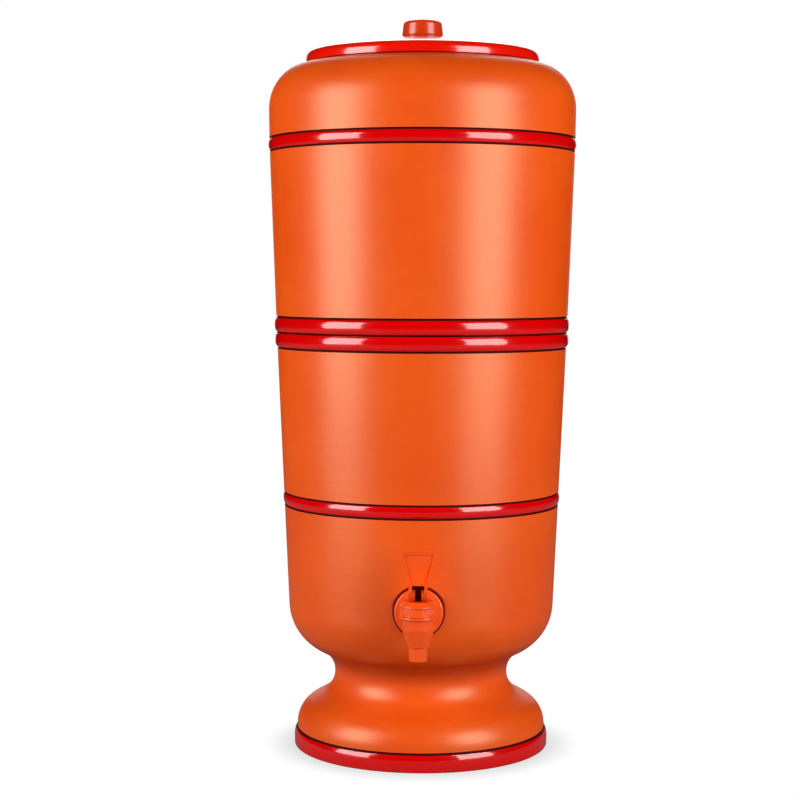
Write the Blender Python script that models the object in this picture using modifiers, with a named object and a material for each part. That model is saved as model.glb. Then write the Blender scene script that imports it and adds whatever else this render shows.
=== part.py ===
"""Two-chamber clay water filter with a self-closing tap, ceramic candles and float valves.

The vessel axis is vertical. The tap faces -Y and the object stands on z = 0.
All sizes are in metres.
"""

import math

import bmesh
import bpy
from mathutils import Matrix, Vector

# General fits
SEAT_GAP = 0.0003  # between pieces that rest on or run in each other
CUT_OVERRUN = 0.004  # how far a cutter runs past what it cuts
MERGE_DISTANCE = 0.00001
SMOOTH_ANGLE = math.radians(35)
QUARTER_TURN = math.radians(90)

# Round resolution, as sides or as segments of an arc
VESSEL_SIDES = 40
LID_SIDES = 36
TAP_SIDES = 20
CANDLE_SIDES = 16
SMALL_SIDES = 12
WIRE_RESOLUTION = 1
ARC_SEGMENTS = 4
INNER_SEGMENTS = 3
EDGE_SEGMENTS = 2
SHOULDER_SEGMENTS = 7
BAND_SEGMENTS = 4
EYE_SEGMENTS = 12

# Clay walls
CLAY_WALL = 0.009
FLOOR_THICKNESS = 0.012
LIP_ROUND = 0.0015

# Lower reservoir, from the ground up
BASE_BAND_HEIGHT = 0.0147
BASE_BAND_EDGE_RADIUS = 0.1062  # at the band's upper edge
BASE_GROUND_RADIUS = 0.1074
BASE_RADIUS = 0.1076
BASE_BULGE_HEIGHT = 0.0072
BASE_BULGE_ROUND = 0.0400
BASE_GROUND_ROUND = 0.0014
BASE_INNER_RADIUS = 0.0965
FOOT_RADIUS = 0.1054
FOOT_HEIGHT = 0.0320
FOOT_ROUND = 0.0240
NECK_RADIUS = 0.0731
NECK_FOOT_HEIGHT = 0.0501
NECK_FOOT_ROUND = 0.0200
NECK_TOP_HEIGHT = 0.0756
NECK_TOP_ROUND = 0.0210
BOWL_RADIUS = 0.1108
BOWL_HEIGHT = 0.0936
BOWL_ROUND = 0.0440
BOWL_FLOOR_HEIGHT = 0.0900
BOWL_FLOOR_ROUND = 0.0220
LOW_BAND_HEIGHT = 0.2109  # its middle
LOW_BAND_WIDTH = 0.0100
LOW_BAND_PROUD = 0.0008

# Seam between the two reservoirs
SEAM_HEIGHT = 0.3505
SEAM_RADIUS = 0.1222
SEAM_BAND_WIDTH = 0.0124
SEAM_BAND_PROUD = 0.0019
SPIGOT_HEIGHT = 0.0122
SPIGOT_CLEARANCE = 0.0008

# Upper reservoir
TOP_BAND_HEIGHT = 0.5062  # its middle
TOP_BAND_WIDTH = 0.0102
TOP_BAND_RADIUS = 0.1280
TOP_BAND_PROUD = 0.0012
SHOULDER_RADIUS = 0.1284
SHOULDER_HEIGHT = 0.5360  # where the shoulder starts to turn in
SHOULDER_DEPTH = 0.0324
SHOULDER_RISE = 0.0369
UPPER_FLOOR_ROUND = 0.0140
MOUTH_RADIUS = 0.0860

# Lid, knob and the screw that joins them
LID_RADIUS = 0.0977
LID_RIM_HEIGHT = 0.0098
LID_RIM_DRAFT = 0.0014
LID_EDGE_ROUND = 0.0022
LID_EDGE_START = 80  # degrees, where the dome meets the rim's rounded edge
LID_DOME_RADIUS = 0.0560  # where the dome reaches the crown share of its rise
LID_CROWN_SHARE = 0.58
LID_RISE = 0.0130  # from the rim's top to the knob's seat
LID_WALL = 0.0026
LID_SKIRT_CLEARANCE = 0.0015
LID_SKIRT_DEPTH = 0.0100
KNOB_SEAT_RADIUS = 0.0185
KNOB_RADIUS = 0.0171  # at the top of its base edge
KNOB_DRAFT = 0.0009
KNOB_BASE_CHAMFER = 0.0006
KNOB_BASE_HEIGHT = 0.0020
KNOB_HEIGHT = 0.0134
KNOB_ROUND = 0.0034
LID_SCREW_RADIUS = 0.0020
LID_SCREW_HEAD_RADIUS = 0.0048
LID_SCREW_HEAD_HEIGHT = 0.0026
LID_SCREW_BITE = 0.0085

# Tap: where it passes through the clay
TAP_HEIGHT = 0.1315
SHANK_RADIUS = 0.0095
SHANK_CLEARANCE = 0.0010
SHANK_PROTRUSION = 0.0030
GASKET_THICKNESS = 0.0022
OUTER_GASKET_RADIUS = 0.0210
INNER_GASKET_RADIUS = 0.0170
SPOT_FACE_MARGIN = 0.0006
FLANGE_RADIUS = 0.0195
FLANGE_THICKNESS = 0.0030
FLANGE_ROUND = 0.0012
BACK_NUT_FLATS = 0.0300
BACK_NUT_SIDES = 6
BACK_NUT_THICKNESS = 0.0080

# Tap: body
TAP_REACH = 0.0290  # from the flange's back to the spout's axis
INLET_RADIUS = 0.0035
INLET_DROP = 0.0025
BRANCH_WIDTH = 0.0170
BRANCH_HEIGHT = 0.0105
BRANCH_ROUND = 0.0040
COLLAR_RADIUS = 0.0149
COLLAR_HEIGHT = 0.0021
COLLAR_RISE = 0.0008  # its underside over the shank's axis
BARREL_RADIUS = 0.01275
BARREL_HEIGHT = 0.0083
CONE_HEIGHT = 0.0138
CONE_END_RADIUS = 0.0087
NOZZLE_RADIUS = 0.00735
NOZZLE_HEIGHT = 0.0117
NOZZLE_TAPER = 0.0002
NOZZLE_STEP = 0.0008
NOZZLE_BORE_RADIUS = 0.0046
THREAD_RADIUS = 0.0116
THREAD_HEIGHT = 0.0091
CHAMBER_RADIUS = 0.0085
CHAMBER_DEPTH = 0.0235

# Tap: bonnet
BONNET_RADIUS = 0.01475
BONNET_WAIST_RADIUS = 0.0138
BONNET_BEAD_HEIGHT = 0.0016
BONNET_HEIGHT = 0.0113
BONNET_TOP_RADIUS = 0.0118
BONNET_SHOULDER_HEIGHT = 0.0035  # from its top down to the upper bead
BONNET_RIBS = 24
BONNET_RIB_DEPTH = 0.0005

# Tap: stem, seal and return spring
SEAL_RADIUS = 0.0065
SEAL_HEIGHT = 0.0052
SEAL_SOCKET_DEPTH = 0.0034
STEM_FOOT_RADIUS = 0.0027
STEM_RADIUS = 0.0024
STEM_COLLAR_THICKNESS = 0.0016
BLADE_WIDTH = 0.0050
BLADE_THICKNESS = 0.0033
STEM_HEAD_WIDTH = 0.0091
PIVOT_RADIUS = 0.0012
PIVOT_WIDTH = 0.0126
PIVOT_RISE = 0.00985  # the pivot's axis over the bonnet
SPRING_RADIUS = 0.0052
SPRING_WIRE_RADIUS = 0.00045
SPRING_TURNS = 4
SPRING_POINTS_PER_TURN = 9

# Tap: lever
LEVER_SWING = math.radians(75)
STEM_LIFT = 0.0036  # at the full swing
LEVER_FOOT_WIDTH = 0.0147
LEVER_TOP_WIDTH = 0.0272
LEVER_PADDLE_HEIGHT = 0.0261
LEVER_PADDLE_THICKNESS = 0.0036
LEVER_ROOT_HEIGHT = 0.0036  # how far the feet's root reaches over the pivot
LEVER_BROW_HEIGHT = 0.0030  # the feet's front over the pivot
LEVER_RIM_WIDTH = 0.0019
LEVER_SILL_WIDTH = 0.0008  # rim left under the recess
LEVER_RECESS_DEPTH = 0.0008
LEVER_BACK = 0.0022  # from the pivot's axis to the back face
LEVER_NOSE_ROUND = 0.0010
LEVER_CORNER_ROUND = 0.0016
CAM_SEGMENTS = 8

# Filter candles
CANDLE_SPACING = 0.0920  # between the two candles' axes
CANDLE_RADIUS = 0.0285
CANDLE_HEIGHT = 0.1120
CANDLE_WALL = 0.0080
CANDLE_DOME_HEIGHT = 0.0240
CANDLE_BASE_RADIUS = 0.0310
CANDLE_BASE_FLOOR = 0.0050
CANDLE_BASE_RIM = 0.0110
CANDLE_STEM_RADIUS = 0.0052
CANDLE_STEM_BORE_RADIUS = 0.0019
STEM_HOLE_CLEARANCE = 0.0008
CARBON_DEPTH = 0.0620
CANDLE_GASKET_RADIUS = 0.0150
CANDLE_GASKET_THICKNESS = 0.0025
WING_NUT_RADIUS = 0.0090
WING_NUT_HEIGHT = 0.0085
WING_SPAN = 0.0340
WING_THICKNESS = 0.0028
WING_MARGIN = 0.0016  # the wings' edges inside the hub's faces

# Float valves
VALVE_RADIUS = 0.0080
VALVE_HEIGHT = 0.0200
VALVE_SOCKET_DEPTH = 0.0085
VALVE_BORE_RADIUS = 0.0018
VALVE_NIPPLE_RADIUS = 0.0034
VALVE_NIPPLE_HEIGHT = 0.0020
HINGE_OFFSET = 0.0125
HINGE_DROP = 0.0032  # the hinge's axis under the nipple
HINGE_PIN_RADIUS = 0.0012
HINGE_PIN_LENGTH = 0.0112
LUG_WALL = 0.0020
LUG_RADIUS = 0.0034
LUG_RISE = 0.0068  # its top over the valve's underside
LUG_FOOT_RISE = 0.0010  # its underside over the valve's, beside the hinge
ARM_WIDTH = 0.0056  # of the knuckle on the hinge
ARM_BAR_WIDTH = 0.0050
ARM_HEIGHT = 0.0040
ARM_TAIL = 0.0045  # behind the hinge, where it meets the lug and stops the drop
ARM_EYE_RADIUS = 0.0060
ARM_REACH = 0.0480  # from the valve's axis to the float's
PAD_RADIUS = 0.0034
PAD_THICKNESS = 0.0026
PAD_SINK = 0.0014  # how far the pad sits in the arm
FLOAT_RADIUS = 0.0170
FLOAT_HEIGHT = 0.0270
FLOAT_WALL = 0.0014
FLOAT_ROUND = 0.0040
STUD_RADIUS = 0.0026
STUD_HEAD_RADIUS = 0.0038
STUD_HEAD_HEIGHT = 0.0016
FLOAT_DROP = math.radians(28)


def srgb(red, green, blue):
    """Linear colour from the 0 to 255 values that a picture gives."""
    linear = []
    for value in (red, green, blue):
        share = value / 255
        linear.append(share / 12.92 if share <= 0.04045 else ((share + 0.055) / 1.055) ** 2.4)
    return (*linear, 1.0)


# Finishes: colour, roughness, metallic
CLAY = (srgb(229, 93, 40), 0.85, 0.0)
RED_PAINT = (srgb(212, 8, 6), 0.12, 0.0)
ORANGE_PLASTIC = (srgb(234, 84, 26), 0.32, 0.0)
RED_PLASTIC = (srgb(222, 24, 6), 0.14, 0.0)
DARK_RUBBER = (srgb(52, 20, 16), 0.6, 0.0)
CLEAR_SILICONE = (srgb(226, 222, 212), 0.45, 0.0)
WHITE_PLASTIC = (srgb(236, 234, 226), 0.35, 0.0)
STEEL = (srgb(190, 190, 192), 0.28, 1.0)
CERAMIC = (srgb(243, 240, 232), 0.9, 0.0)
CARBON = (srgb(30, 30, 32), 0.95, 0.0)


# Places that several pieces share


def lower_wall_radius(height):
    """Outer radius of the lower reservoir's wall at a height."""
    share = (height - BOWL_HEIGHT) / (SEAM_HEIGHT - BOWL_HEIGHT)
    return BOWL_RADIUS + share * (SEAM_RADIUS - BOWL_RADIUS)


def upper_wall_radius(height):
    """Outer radius of the upper reservoir's wall at a height below the shoulder."""
    if height < TOP_BAND_HEIGHT:
        share = (height - SEAM_HEIGHT) / (TOP_BAND_HEIGHT - SEAM_HEIGHT)
        return SEAM_RADIUS + share * (TOP_BAND_RADIUS - SEAM_RADIUS)
    share = (height - TOP_BAND_HEIGHT) / (SHOULDER_HEIGHT - TOP_BAND_HEIGHT)
    return TOP_BAND_RADIUS + share * (SHOULDER_RADIUS - TOP_BAND_RADIUS)


UPPER_BOTTOM = SEAM_HEIGHT + SEAT_GAP
SPIGOT_BOTTOM = UPPER_BOTTOM - SPIGOT_HEIGHT
SPIGOT_RADIUS = lower_wall_radius(SPIGOT_BOTTOM) - CLAY_WALL - SPIGOT_CLEARANCE
UPPER_FLOOR = SPIGOT_BOTTOM + FLOOR_THICKNESS
LOWER_SEAM_BAND = SEAM_HEIGHT - SEAM_BAND_WIDTH / 2
UPPER_SEAM_BAND = UPPER_BOTTOM + SEAM_BAND_WIDTH / 2
SHOULDER_CENTRE = (SHOULDER_RADIUS - SHOULDER_DEPTH, SHOULDER_HEIGHT)
SHOULDER_TOP = SHOULDER_HEIGHT + SHOULDER_RISE
LID_BOTTOM = SHOULDER_TOP + SEAT_GAP
LID_RIM_TOP = LID_BOTTOM + LID_RIM_HEIGHT
KNOB_SEAT = LID_RIM_TOP + LID_RISE

SEAT_PLANE = math.sqrt(lower_wall_radius(TAP_HEIGHT) ** 2 - OUTER_GASKET_RADIUS**2)
INNER_PLANE = lower_wall_radius(TAP_HEIGHT + INNER_GASKET_RADIUS) - CLAY_WALL
FLANGE_BACK = SEAT_PLANE + SEAT_GAP + GASKET_THICKNESS + SEAT_GAP
NUT_FACE = INNER_PLANE - SEAT_GAP - GASKET_THICKNESS - SEAT_GAP
SHANK_END = NUT_FACE - BACK_NUT_THICKNESS - SHANK_PROTRUSION
SPOUT_AXIS = FLANGE_BACK + TAP_REACH
INLET_HEIGHT = TAP_HEIGHT - INLET_DROP
COLLAR_BOTTOM = TAP_HEIGHT + COLLAR_RISE
COLLAR_TOP = COLLAR_BOTTOM + COLLAR_HEIGHT
BARREL_BOTTOM = COLLAR_BOTTOM - BARREL_HEIGHT
CONE_BOTTOM = BARREL_BOTTOM - CONE_HEIGHT
NOZZLE_BOTTOM = CONE_BOTTOM - NOZZLE_HEIGHT
THREAD_TOP = COLLAR_TOP + THREAD_HEIGHT
CHAMBER_FLOOR = THREAD_TOP - CHAMBER_DEPTH
BONNET_BOTTOM = COLLAR_TOP + SEAT_GAP
BONNET_TOP = BONNET_BOTTOM + BONNET_HEIGHT
BONNET_CEILING = THREAD_TOP + SEAT_GAP
PIVOT_HEIGHT = BONNET_TOP + PIVOT_RISE
SEAL_BOTTOM = CHAMBER_FLOOR + SEAT_GAP
SEAL_TOP = SEAL_BOTTOM + SEAL_HEIGHT
SEAL_SOCKET_FLOOR = SEAL_TOP - SEAL_SOCKET_DEPTH
STEM_COLLAR_BOTTOM = SEAL_TOP + SEAT_GAP
STEM_COLLAR_TOP = STEM_COLLAR_BOTTOM + STEM_COLLAR_THICKNESS
BLADE_BOTTOM = BONNET_CEILING - STEM_LIFT - SEAT_GAP
HEAD_RADIUS = BLADE_THICKNESS / 2
HEAD_ROOM = HEAD_RADIUS + 2 * SEAT_GAP  # the lever's window over the pivot

CANDLE_GASKET_BOTTOM = UPPER_FLOOR + SEAT_GAP
CANDLE_BASE_BOTTOM = CANDLE_GASKET_BOTTOM + CANDLE_GASKET_THICKNESS + SEAT_GAP
CANDLE_BOTTOM = CANDLE_BASE_BOTTOM + CANDLE_BASE_FLOOR + SEAT_GAP
WING_NUT_TOP = SPIGOT_BOTTOM - SEAT_GAP
WING_NUT_BOTTOM = WING_NUT_TOP - WING_NUT_HEIGHT
VALVE_TOP = WING_NUT_BOTTOM - SEAT_GAP
VALVE_SOCKET_FLOOR = VALVE_TOP - VALVE_SOCKET_DEPTH
CANDLE_STEM_BOTTOM = VALVE_SOCKET_FLOOR + SEAT_GAP
VALVE_BOTTOM = VALVE_TOP - VALVE_HEIGHT
NIPPLE_BOTTOM = VALVE_BOTTOM - VALVE_NIPPLE_HEIGHT
HINGE_HEIGHT = NIPPLE_BOTTOM - HINGE_DROP

# Heights over the hinge, with the float valve shut
ARM_TOP = HINGE_DROP - SEAT_GAP - (PAD_THICKNESS - PAD_SINK)
ARM_BOTTOM = ARM_TOP - ARM_HEIGHT
TAIL_STOP = ARM_TOP * math.cos(FLOAT_DROP) + ARM_TAIL * math.sin(FLOAT_DROP) + SEAT_GAP
ARM_END = HINGE_OFFSET + ARM_REACH

# The spout's front and the widest band are equally far from the origin along Y.
WIDEST_RADIUS = upper_wall_radius(TOP_BAND_HEIGHT) + TOP_BAND_PROUD
VESSEL_AXIS_Y = (SPOUT_AXIS + COLLAR_RADIUS - WIDEST_RADIUS) / 2

# Turns that lay a shape's own axes along the vessel's
OUTWARD = (QUARTER_TURN, 0, 0)  # local Z runs out through the tap, to -Y
ACROSS = (0, QUARTER_TURN, 0)  # local Z runs along X
ALONG = (-QUARTER_TURN, 0, 0)  # local Z runs along +Y
FRONT_VIEW = (QUARTER_TURN, 0, 0)  # an outline's X and Y become X and Z
SIDE_VIEW = (QUARTER_TURN, 0, QUARTER_TURN)  # an outline's X and Y become Y and Z
UPRIGHT = (0, 0, 0)


# Scene and object helpers


def clear_scene():
    for obj in list(bpy.data.objects):
        bpy.data.objects.remove(obj)


def make_collection(name):
    collection = bpy.data.collections.new(name)
    bpy.context.scene.collection.children.link(collection)
    return collection


clear_scene()
PARTS = make_collection("clay_water_filter")
CUTTERS = make_collection("cutters")


def make_object(name, data, parent, location=(0, 0, 0), rotation=UPRIGHT):
    obj = bpy.data.objects.new(name, data)
    PARTS.objects.link(obj)
    obj.parent = parent
    obj.location = location
    obj.rotation_euler = rotation
    return obj


def give_finish(obj, finish, part="finish"):
    """Gives the object a material of its own."""
    colour, roughness, metallic = finish
    material = bpy.data.materials.new(f"{obj.name}_{part}")
    material.use_nodes = True
    shader = material.node_tree.nodes["Principled BSDF"]
    shader.inputs["Base Color"].default_value = colour
    shader.inputs["Roughness"].default_value = roughness
    shader.inputs["Metallic"].default_value = metallic
    material.diffuse_color = colour
    obj.data.materials.append(material)


def boolean(obj, other, operation):
    """Cuts another object from this one or joins it on, and files the other with the cutters."""
    other.hide_render = True
    other.display_type = "WIRE"
    PARTS.objects.unlink(other)
    CUTTERS.objects.link(other)
    modifier = obj.modifiers.new(f"{operation.lower()}_{other.name}", "BOOLEAN")
    modifier.operation = operation
    modifier.solver = "EXACT"
    modifier.object = other


def cut(obj, cutter):
    boolean(obj, cutter, "DIFFERENCE")


def join(obj, other):
    boolean(obj, other, "UNION")


def settle(obj):
    """Applies the modifiers, welds the mesh and shades its round faces smooth."""
    bpy.context.view_layer.update()
    graph = bpy.context.evaluated_depsgraph_get()
    mesh = bpy.data.meshes.new_from_object(obj.evaluated_get(graph))
    materials = list(obj.data.materials)
    obj.modifiers.clear()
    obj.data = mesh
    mesh.materials.clear()
    for material in materials:
        mesh.materials.append(material)
    shape = bmesh.new()
    shape.from_mesh(mesh)
    bmesh.ops.remove_doubles(shape, verts=shape.verts, dist=MERGE_DISTANCE)
    shape.to_mesh(mesh)
    shape.free()
    mesh.shade_smooth()
    mesh.set_sharp_from_angle(angle=SMOOTH_ANGLE)


def finish_off(obj, finish):
    give_finish(obj, finish)
    settle(obj)


# Outline helpers: points are (radius, height) or (across, up)


def ellipse(centre, radii, start, end, segments=ARC_SEGMENTS):
    """Points on an elliptical arc between two angles in degrees, both ends included."""
    points = []
    for step in range(segments + 1):
        angle = math.radians(start + (end - start) * step / segments)
        across = centre[0] + radii[0] * math.cos(angle)
        up = centre[1] + radii[1] * math.sin(angle)
        points.append((across, up))
    return points


def arc(centre, radius, start, end, segments=ARC_SEGMENTS):
    return ellipse(centre, (radius, radius), start, end, segments)


def rounded_corner(before, corner, after, rounding, segments):
    """The arc that replaces one corner of an outline."""
    here = Vector(corner)
    back = (Vector(before) - here).normalized()
    ahead = (Vector(after) - here).normalized()
    half = back.angle(ahead) / 2
    centre = here + (back + ahead).normalized() * (rounding / math.sin(half))
    first = here + back * (rounding / math.tan(half)) - centre
    last = here + ahead * (rounding / math.tan(half)) - centre
    start = math.degrees(math.atan2(first.y, first.x))
    turn = math.degrees(first.angle_signed(last))
    return arc(centre, rounding, start, start - turn, segments)


def rounded(corners, segments=ARC_SEGMENTS):
    """An open outline through corners (x, y, rounding), its two ends left as they are."""
    points = [corners[0][:2]]
    for before, corner, after in zip(corners, corners[1:], corners[2:]):
        if corner[2]:
            points += rounded_corner(before[:2], corner[:2], after[:2], corner[2], segments)
        else:
            points.append(corner[:2])
    points.append(corners[-1][:2])
    return points


def rounded_loop(corners, segments=EDGE_SEGMENTS):
    """A closed outline through corners (x, y, rounding)."""
    return rounded([corners[-1], *corners, corners[0]], segments)[1:-1]


def rectangle(width, height, rounding=0):
    """A rectangle's outline about its centre."""
    across = width / 2
    up = height / 2
    corners = [(-across, -up), (across, -up), (across, up), (-across, up)]
    return rounded_loop([(*corner, rounding) for corner in corners], INNER_SEGMENTS)


def bead(middle, width, proud, wall_radius):
    """A rounded band that stands out of a wall, from its top edge to its lower edge."""
    points = []
    for step in range(BAND_SEGMENTS + 1):
        angle = math.pi * step / BAND_SEGMENTS
        height = middle + width / 2 * math.cos(angle)
        points.append((wall_radius(height) + proud * math.sin(angle), height))
    return points


# Shape helpers


def turned(name, outline, sides, parent, location=(0, 0, 0), rotation=UPRIGHT, closed=False):
    """A turned solid. The outline runs down its outer side; a closed one is a ring's section."""
    mesh = bpy.data.meshes.new(name)
    edges = [(index, index + 1) for index in range(len(outline) - 1)]
    if closed:
        edges.append((len(outline) - 1, 0))
    mesh.from_pydata([(radius, 0, height) for radius, height in outline], edges, [])
    obj = make_object(name, mesh, parent, location, rotation)
    screw = obj.modifiers.new("turn", "SCREW")
    screw.steps = sides
    screw.render_steps = sides
    screw.use_merge_vertices = True
    screw.merge_threshold = MERGE_DISTANCE
    screw.use_smooth_shade = True
    return obj


def solid_from_curve(curve, name, parent, location, rotation):
    """The welded mesh object of a curve's solid."""
    source = make_object(f"{name}_outline", curve, None)
    bpy.context.view_layer.update()
    graph = bpy.context.evaluated_depsgraph_get()
    mesh = bpy.data.meshes.new_from_object(source.evaluated_get(graph))
    bpy.data.objects.remove(source)
    mesh.name = name
    shape = bmesh.new()
    shape.from_mesh(mesh)
    bmesh.ops.remove_doubles(shape, verts=shape.verts, dist=MERGE_DISTANCE)
    bmesh.ops.recalc_face_normals(shape, faces=shape.faces)
    shape.to_mesh(mesh)
    shape.free()
    return make_object(name, mesh, parent, location, rotation)


def add_line(curve, points, cyclic):
    spline = curve.splines.new("POLY")
    spline.points.add(len(points) - 1)
    for point, place in zip(spline.points, points):
        point.co = (*place, 1)
    spline.use_cyclic_u = cyclic


def plate(name, outline, thickness, parent, location=(0, 0, 0), rotation=UPRIGHT):
    """A flat outline in its own X and Y, thickened evenly to both sides."""
    curve = bpy.data.curves.new(name, "CURVE")
    curve.dimensions = "2D"
    curve.fill_mode = "BOTH"
    curve.extrude = thickness / 2
    add_line(curve, [(across, up, 0) for across, up in outline], cyclic=True)
    return solid_from_curve(curve, name, parent, location, rotation)


def wire(name, points, radius, parent):
    """A wire along points, with closed ends."""
    curve = bpy.data.curves.new(name, "CURVE")
    curve.dimensions = "3D"
    curve.bevel_depth = radius
    curve.bevel_resolution = WIRE_RESOLUTION
    curve.use_fill_caps = True
    add_line(curve, points, cyclic=False)
    return solid_from_curve(curve, name, parent, (0, 0, 0), UPRIGHT)


def cylinder(name, radius, low, high, sides, parent, location=(0, 0, 0), rotation=UPRIGHT):
    """A plain cylinder on its own Z axis, between two heights."""
    shape = bmesh.new()
    depth = high - low
    size = {"radius1": radius, "radius2": radius, "depth": depth}
    middle = Matrix.Translation((0, 0, (high + low) / 2))
    bmesh.ops.create_cone(shape, cap_ends=True, segments=sides, matrix=middle, **size)
    mesh = bpy.data.meshes.new(name)
    shape.to_mesh(mesh)
    shape.free()
    return make_object(name, mesh, parent, location, rotation)


def ring(name, radii, low, high, sides, parent, location=(0, 0, 0), rotation=UPRIGHT):
    """A flat ring between an outer and an inner radius."""
    outer, inner = radii
    outline = [(outer, high), (outer, low), (inner, low), (inner, high)]
    return turned(name, outline, sides, parent, location, rotation, closed=True)


# Vessel


def foot_outside():
    """Outer side of the bowl, neck and foot, from the wall down to the base band."""
    corners = [
        (lower_wall_radius(LOW_BAND_HEIGHT), LOW_BAND_HEIGHT, 0),
        (BOWL_RADIUS, BOWL_HEIGHT, BOWL_ROUND),
        (NECK_RADIUS, NECK_TOP_HEIGHT, NECK_TOP_ROUND),
        (NECK_RADIUS, NECK_FOOT_HEIGHT, NECK_FOOT_ROUND),
        (FOOT_RADIUS, FOOT_HEIGHT, FOOT_ROUND),
        (BASE_BAND_EDGE_RADIUS, BASE_BAND_HEIGHT, 0),
    ]
    return rounded(corners)[1:-1]


def base_band():
    """The base's painted band, from its upper edge to the ground."""
    corners = [
        (BASE_BAND_EDGE_RADIUS, BASE_BAND_HEIGHT, 0),
        (BASE_RADIUS, BASE_BULGE_HEIGHT, BASE_BULGE_ROUND),
        (BASE_GROUND_RADIUS, 0, BASE_GROUND_ROUND),
        (BASE_INNER_RADIUS, 0, 0),
    ]
    return rounded(corners, EDGE_SEGMENTS)


def foot_inside():
    """Inside of the foot, from above the ground up to the underside of the bowl."""
    underside = BOWL_FLOOR_HEIGHT - FLOOR_THICKNESS
    neck = NECK_RADIUS - CLAY_WALL
    corners = [
        (BASE_INNER_RADIUS, 0, 0),
        (FOOT_RADIUS - CLAY_WALL, FOOT_HEIGHT - CLAY_WALL, FOOT_ROUND - CLAY_WALL),
        (neck, NECK_FOOT_HEIGHT - CLAY_WALL / 2, NECK_FOOT_ROUND),
        (neck, underside, CLAY_WALL),
        (0, underside, 0),
    ]
    return rounded(corners, EDGE_SEGMENTS)[1:]


def lower_inside():
    """Inside of the lower reservoir, from the middle of its floor up to its rim."""
    corners = [
        (0, BOWL_FLOOR_HEIGHT, 0),
        (lower_wall_radius(BOWL_FLOOR_HEIGHT) - CLAY_WALL, BOWL_FLOOR_HEIGHT, BOWL_FLOOR_ROUND),
        (lower_wall_radius(SEAM_HEIGHT) - CLAY_WALL, SEAM_HEIGHT, 0),
    ]
    return rounded(corners, INNER_SEGMENTS)


def tap_hole(parent):
    """The shank's hole with a flat seat cut on either side of it, and room for the nut."""
    outer_seat = OUTER_GASKET_RADIUS + SPOT_FACE_MARGIN
    inner_seat = INNER_GASKET_RADIUS + SPOT_FACE_MARGIN
    hole = SHANK_RADIUS + SHANK_CLEARANCE
    outline = [
        (0, SEAT_PLANE + CUT_OVERRUN),
        (outer_seat, SEAT_PLANE + CUT_OVERRUN),
        (outer_seat, SEAT_PLANE),
        (hole, SEAT_PLANE),
        (hole, INNER_PLANE),
        (inner_seat, INNER_PLANE),
        (inner_seat, SHANK_END - CUT_OVERRUN),
        (0, SHANK_END - CUT_OVERRUN),
    ]
    return turned("tap_hole", outline, TAP_SIDES, parent, (0, 0, TAP_HEIGHT), OUTWARD)


def lower_reservoir(parent):
    outline = lower_inside()
    outline += bead(LOWER_SEAM_BAND, SEAM_BAND_WIDTH, SEAM_BAND_PROUD, lower_wall_radius)
    outline += bead(LOW_BAND_HEIGHT, LOW_BAND_WIDTH, LOW_BAND_PROUD, lower_wall_radius)
    outline += foot_outside()
    outline += base_band()
    outline += foot_inside()
    obj = turned("lower_reservoir", outline, VESSEL_SIDES, parent)
    cut(obj, tap_hole(parent))
    give_finish(obj, CLAY, "clay")
    give_finish(obj, RED_PAINT, "band")
    settle(obj)
    paint_band(obj, LOWER_SEAM_BAND, SEAM_BAND_WIDTH)
    paint_band(obj, LOW_BAND_HEIGHT, LOW_BAND_WIDTH)
    paint_band(obj, BASE_BAND_HEIGHT / 2, BASE_BAND_HEIGHT)


def paint_band(obj, middle, width):
    """Gives the outer faces of one raised band the object's second material."""
    for face in obj.data.polygons:
        reach = math.hypot(face.center.x, face.center.y)
        if abs(face.center.z - middle) < width / 2 and reach > BASE_INNER_RADIUS + CLAY_WALL / 2:
            outer = face.normal.x * face.center.x + face.normal.y * face.center.y > 0
            face.material_index = 1 if outer else 0


def upper_inside():
    """Inside of the upper reservoir, from the middle of its floor up to the mouth."""
    corners = [
        (0, UPPER_FLOOR, 0),
        (upper_wall_radius(UPPER_FLOOR) - CLAY_WALL, UPPER_FLOOR, UPPER_FLOOR_ROUND),
        (TOP_BAND_RADIUS - CLAY_WALL, TOP_BAND_HEIGHT, 0),
        (SHOULDER_RADIUS - CLAY_WALL, SHOULDER_HEIGHT, 0),
    ]
    points = rounded(corners, INNER_SEGMENTS)[:-1]
    radii = (SHOULDER_DEPTH - CLAY_WALL, SHOULDER_RISE - CLAY_WALL)
    points += ellipse(SHOULDER_CENTRE, radii, 0, 90, INNER_SEGMENTS)
    points.append((MOUTH_RADIUS, SHOULDER_TOP - CLAY_WALL))
    return points


def shoulder_outside():
    """The mouth's lip and the shoulder, from the lip's inner edge out and down."""
    centre = (MOUTH_RADIUS + LIP_ROUND, SHOULDER_TOP - LIP_ROUND)
    points = arc(centre, LIP_ROUND, 180, 90, EDGE_SEGMENTS)
    radii = (SHOULDER_DEPTH, SHOULDER_RISE)
    points += ellipse(SHOULDER_CENTRE, radii, 90, 0, SHOULDER_SEGMENTS)
    return points


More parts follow.
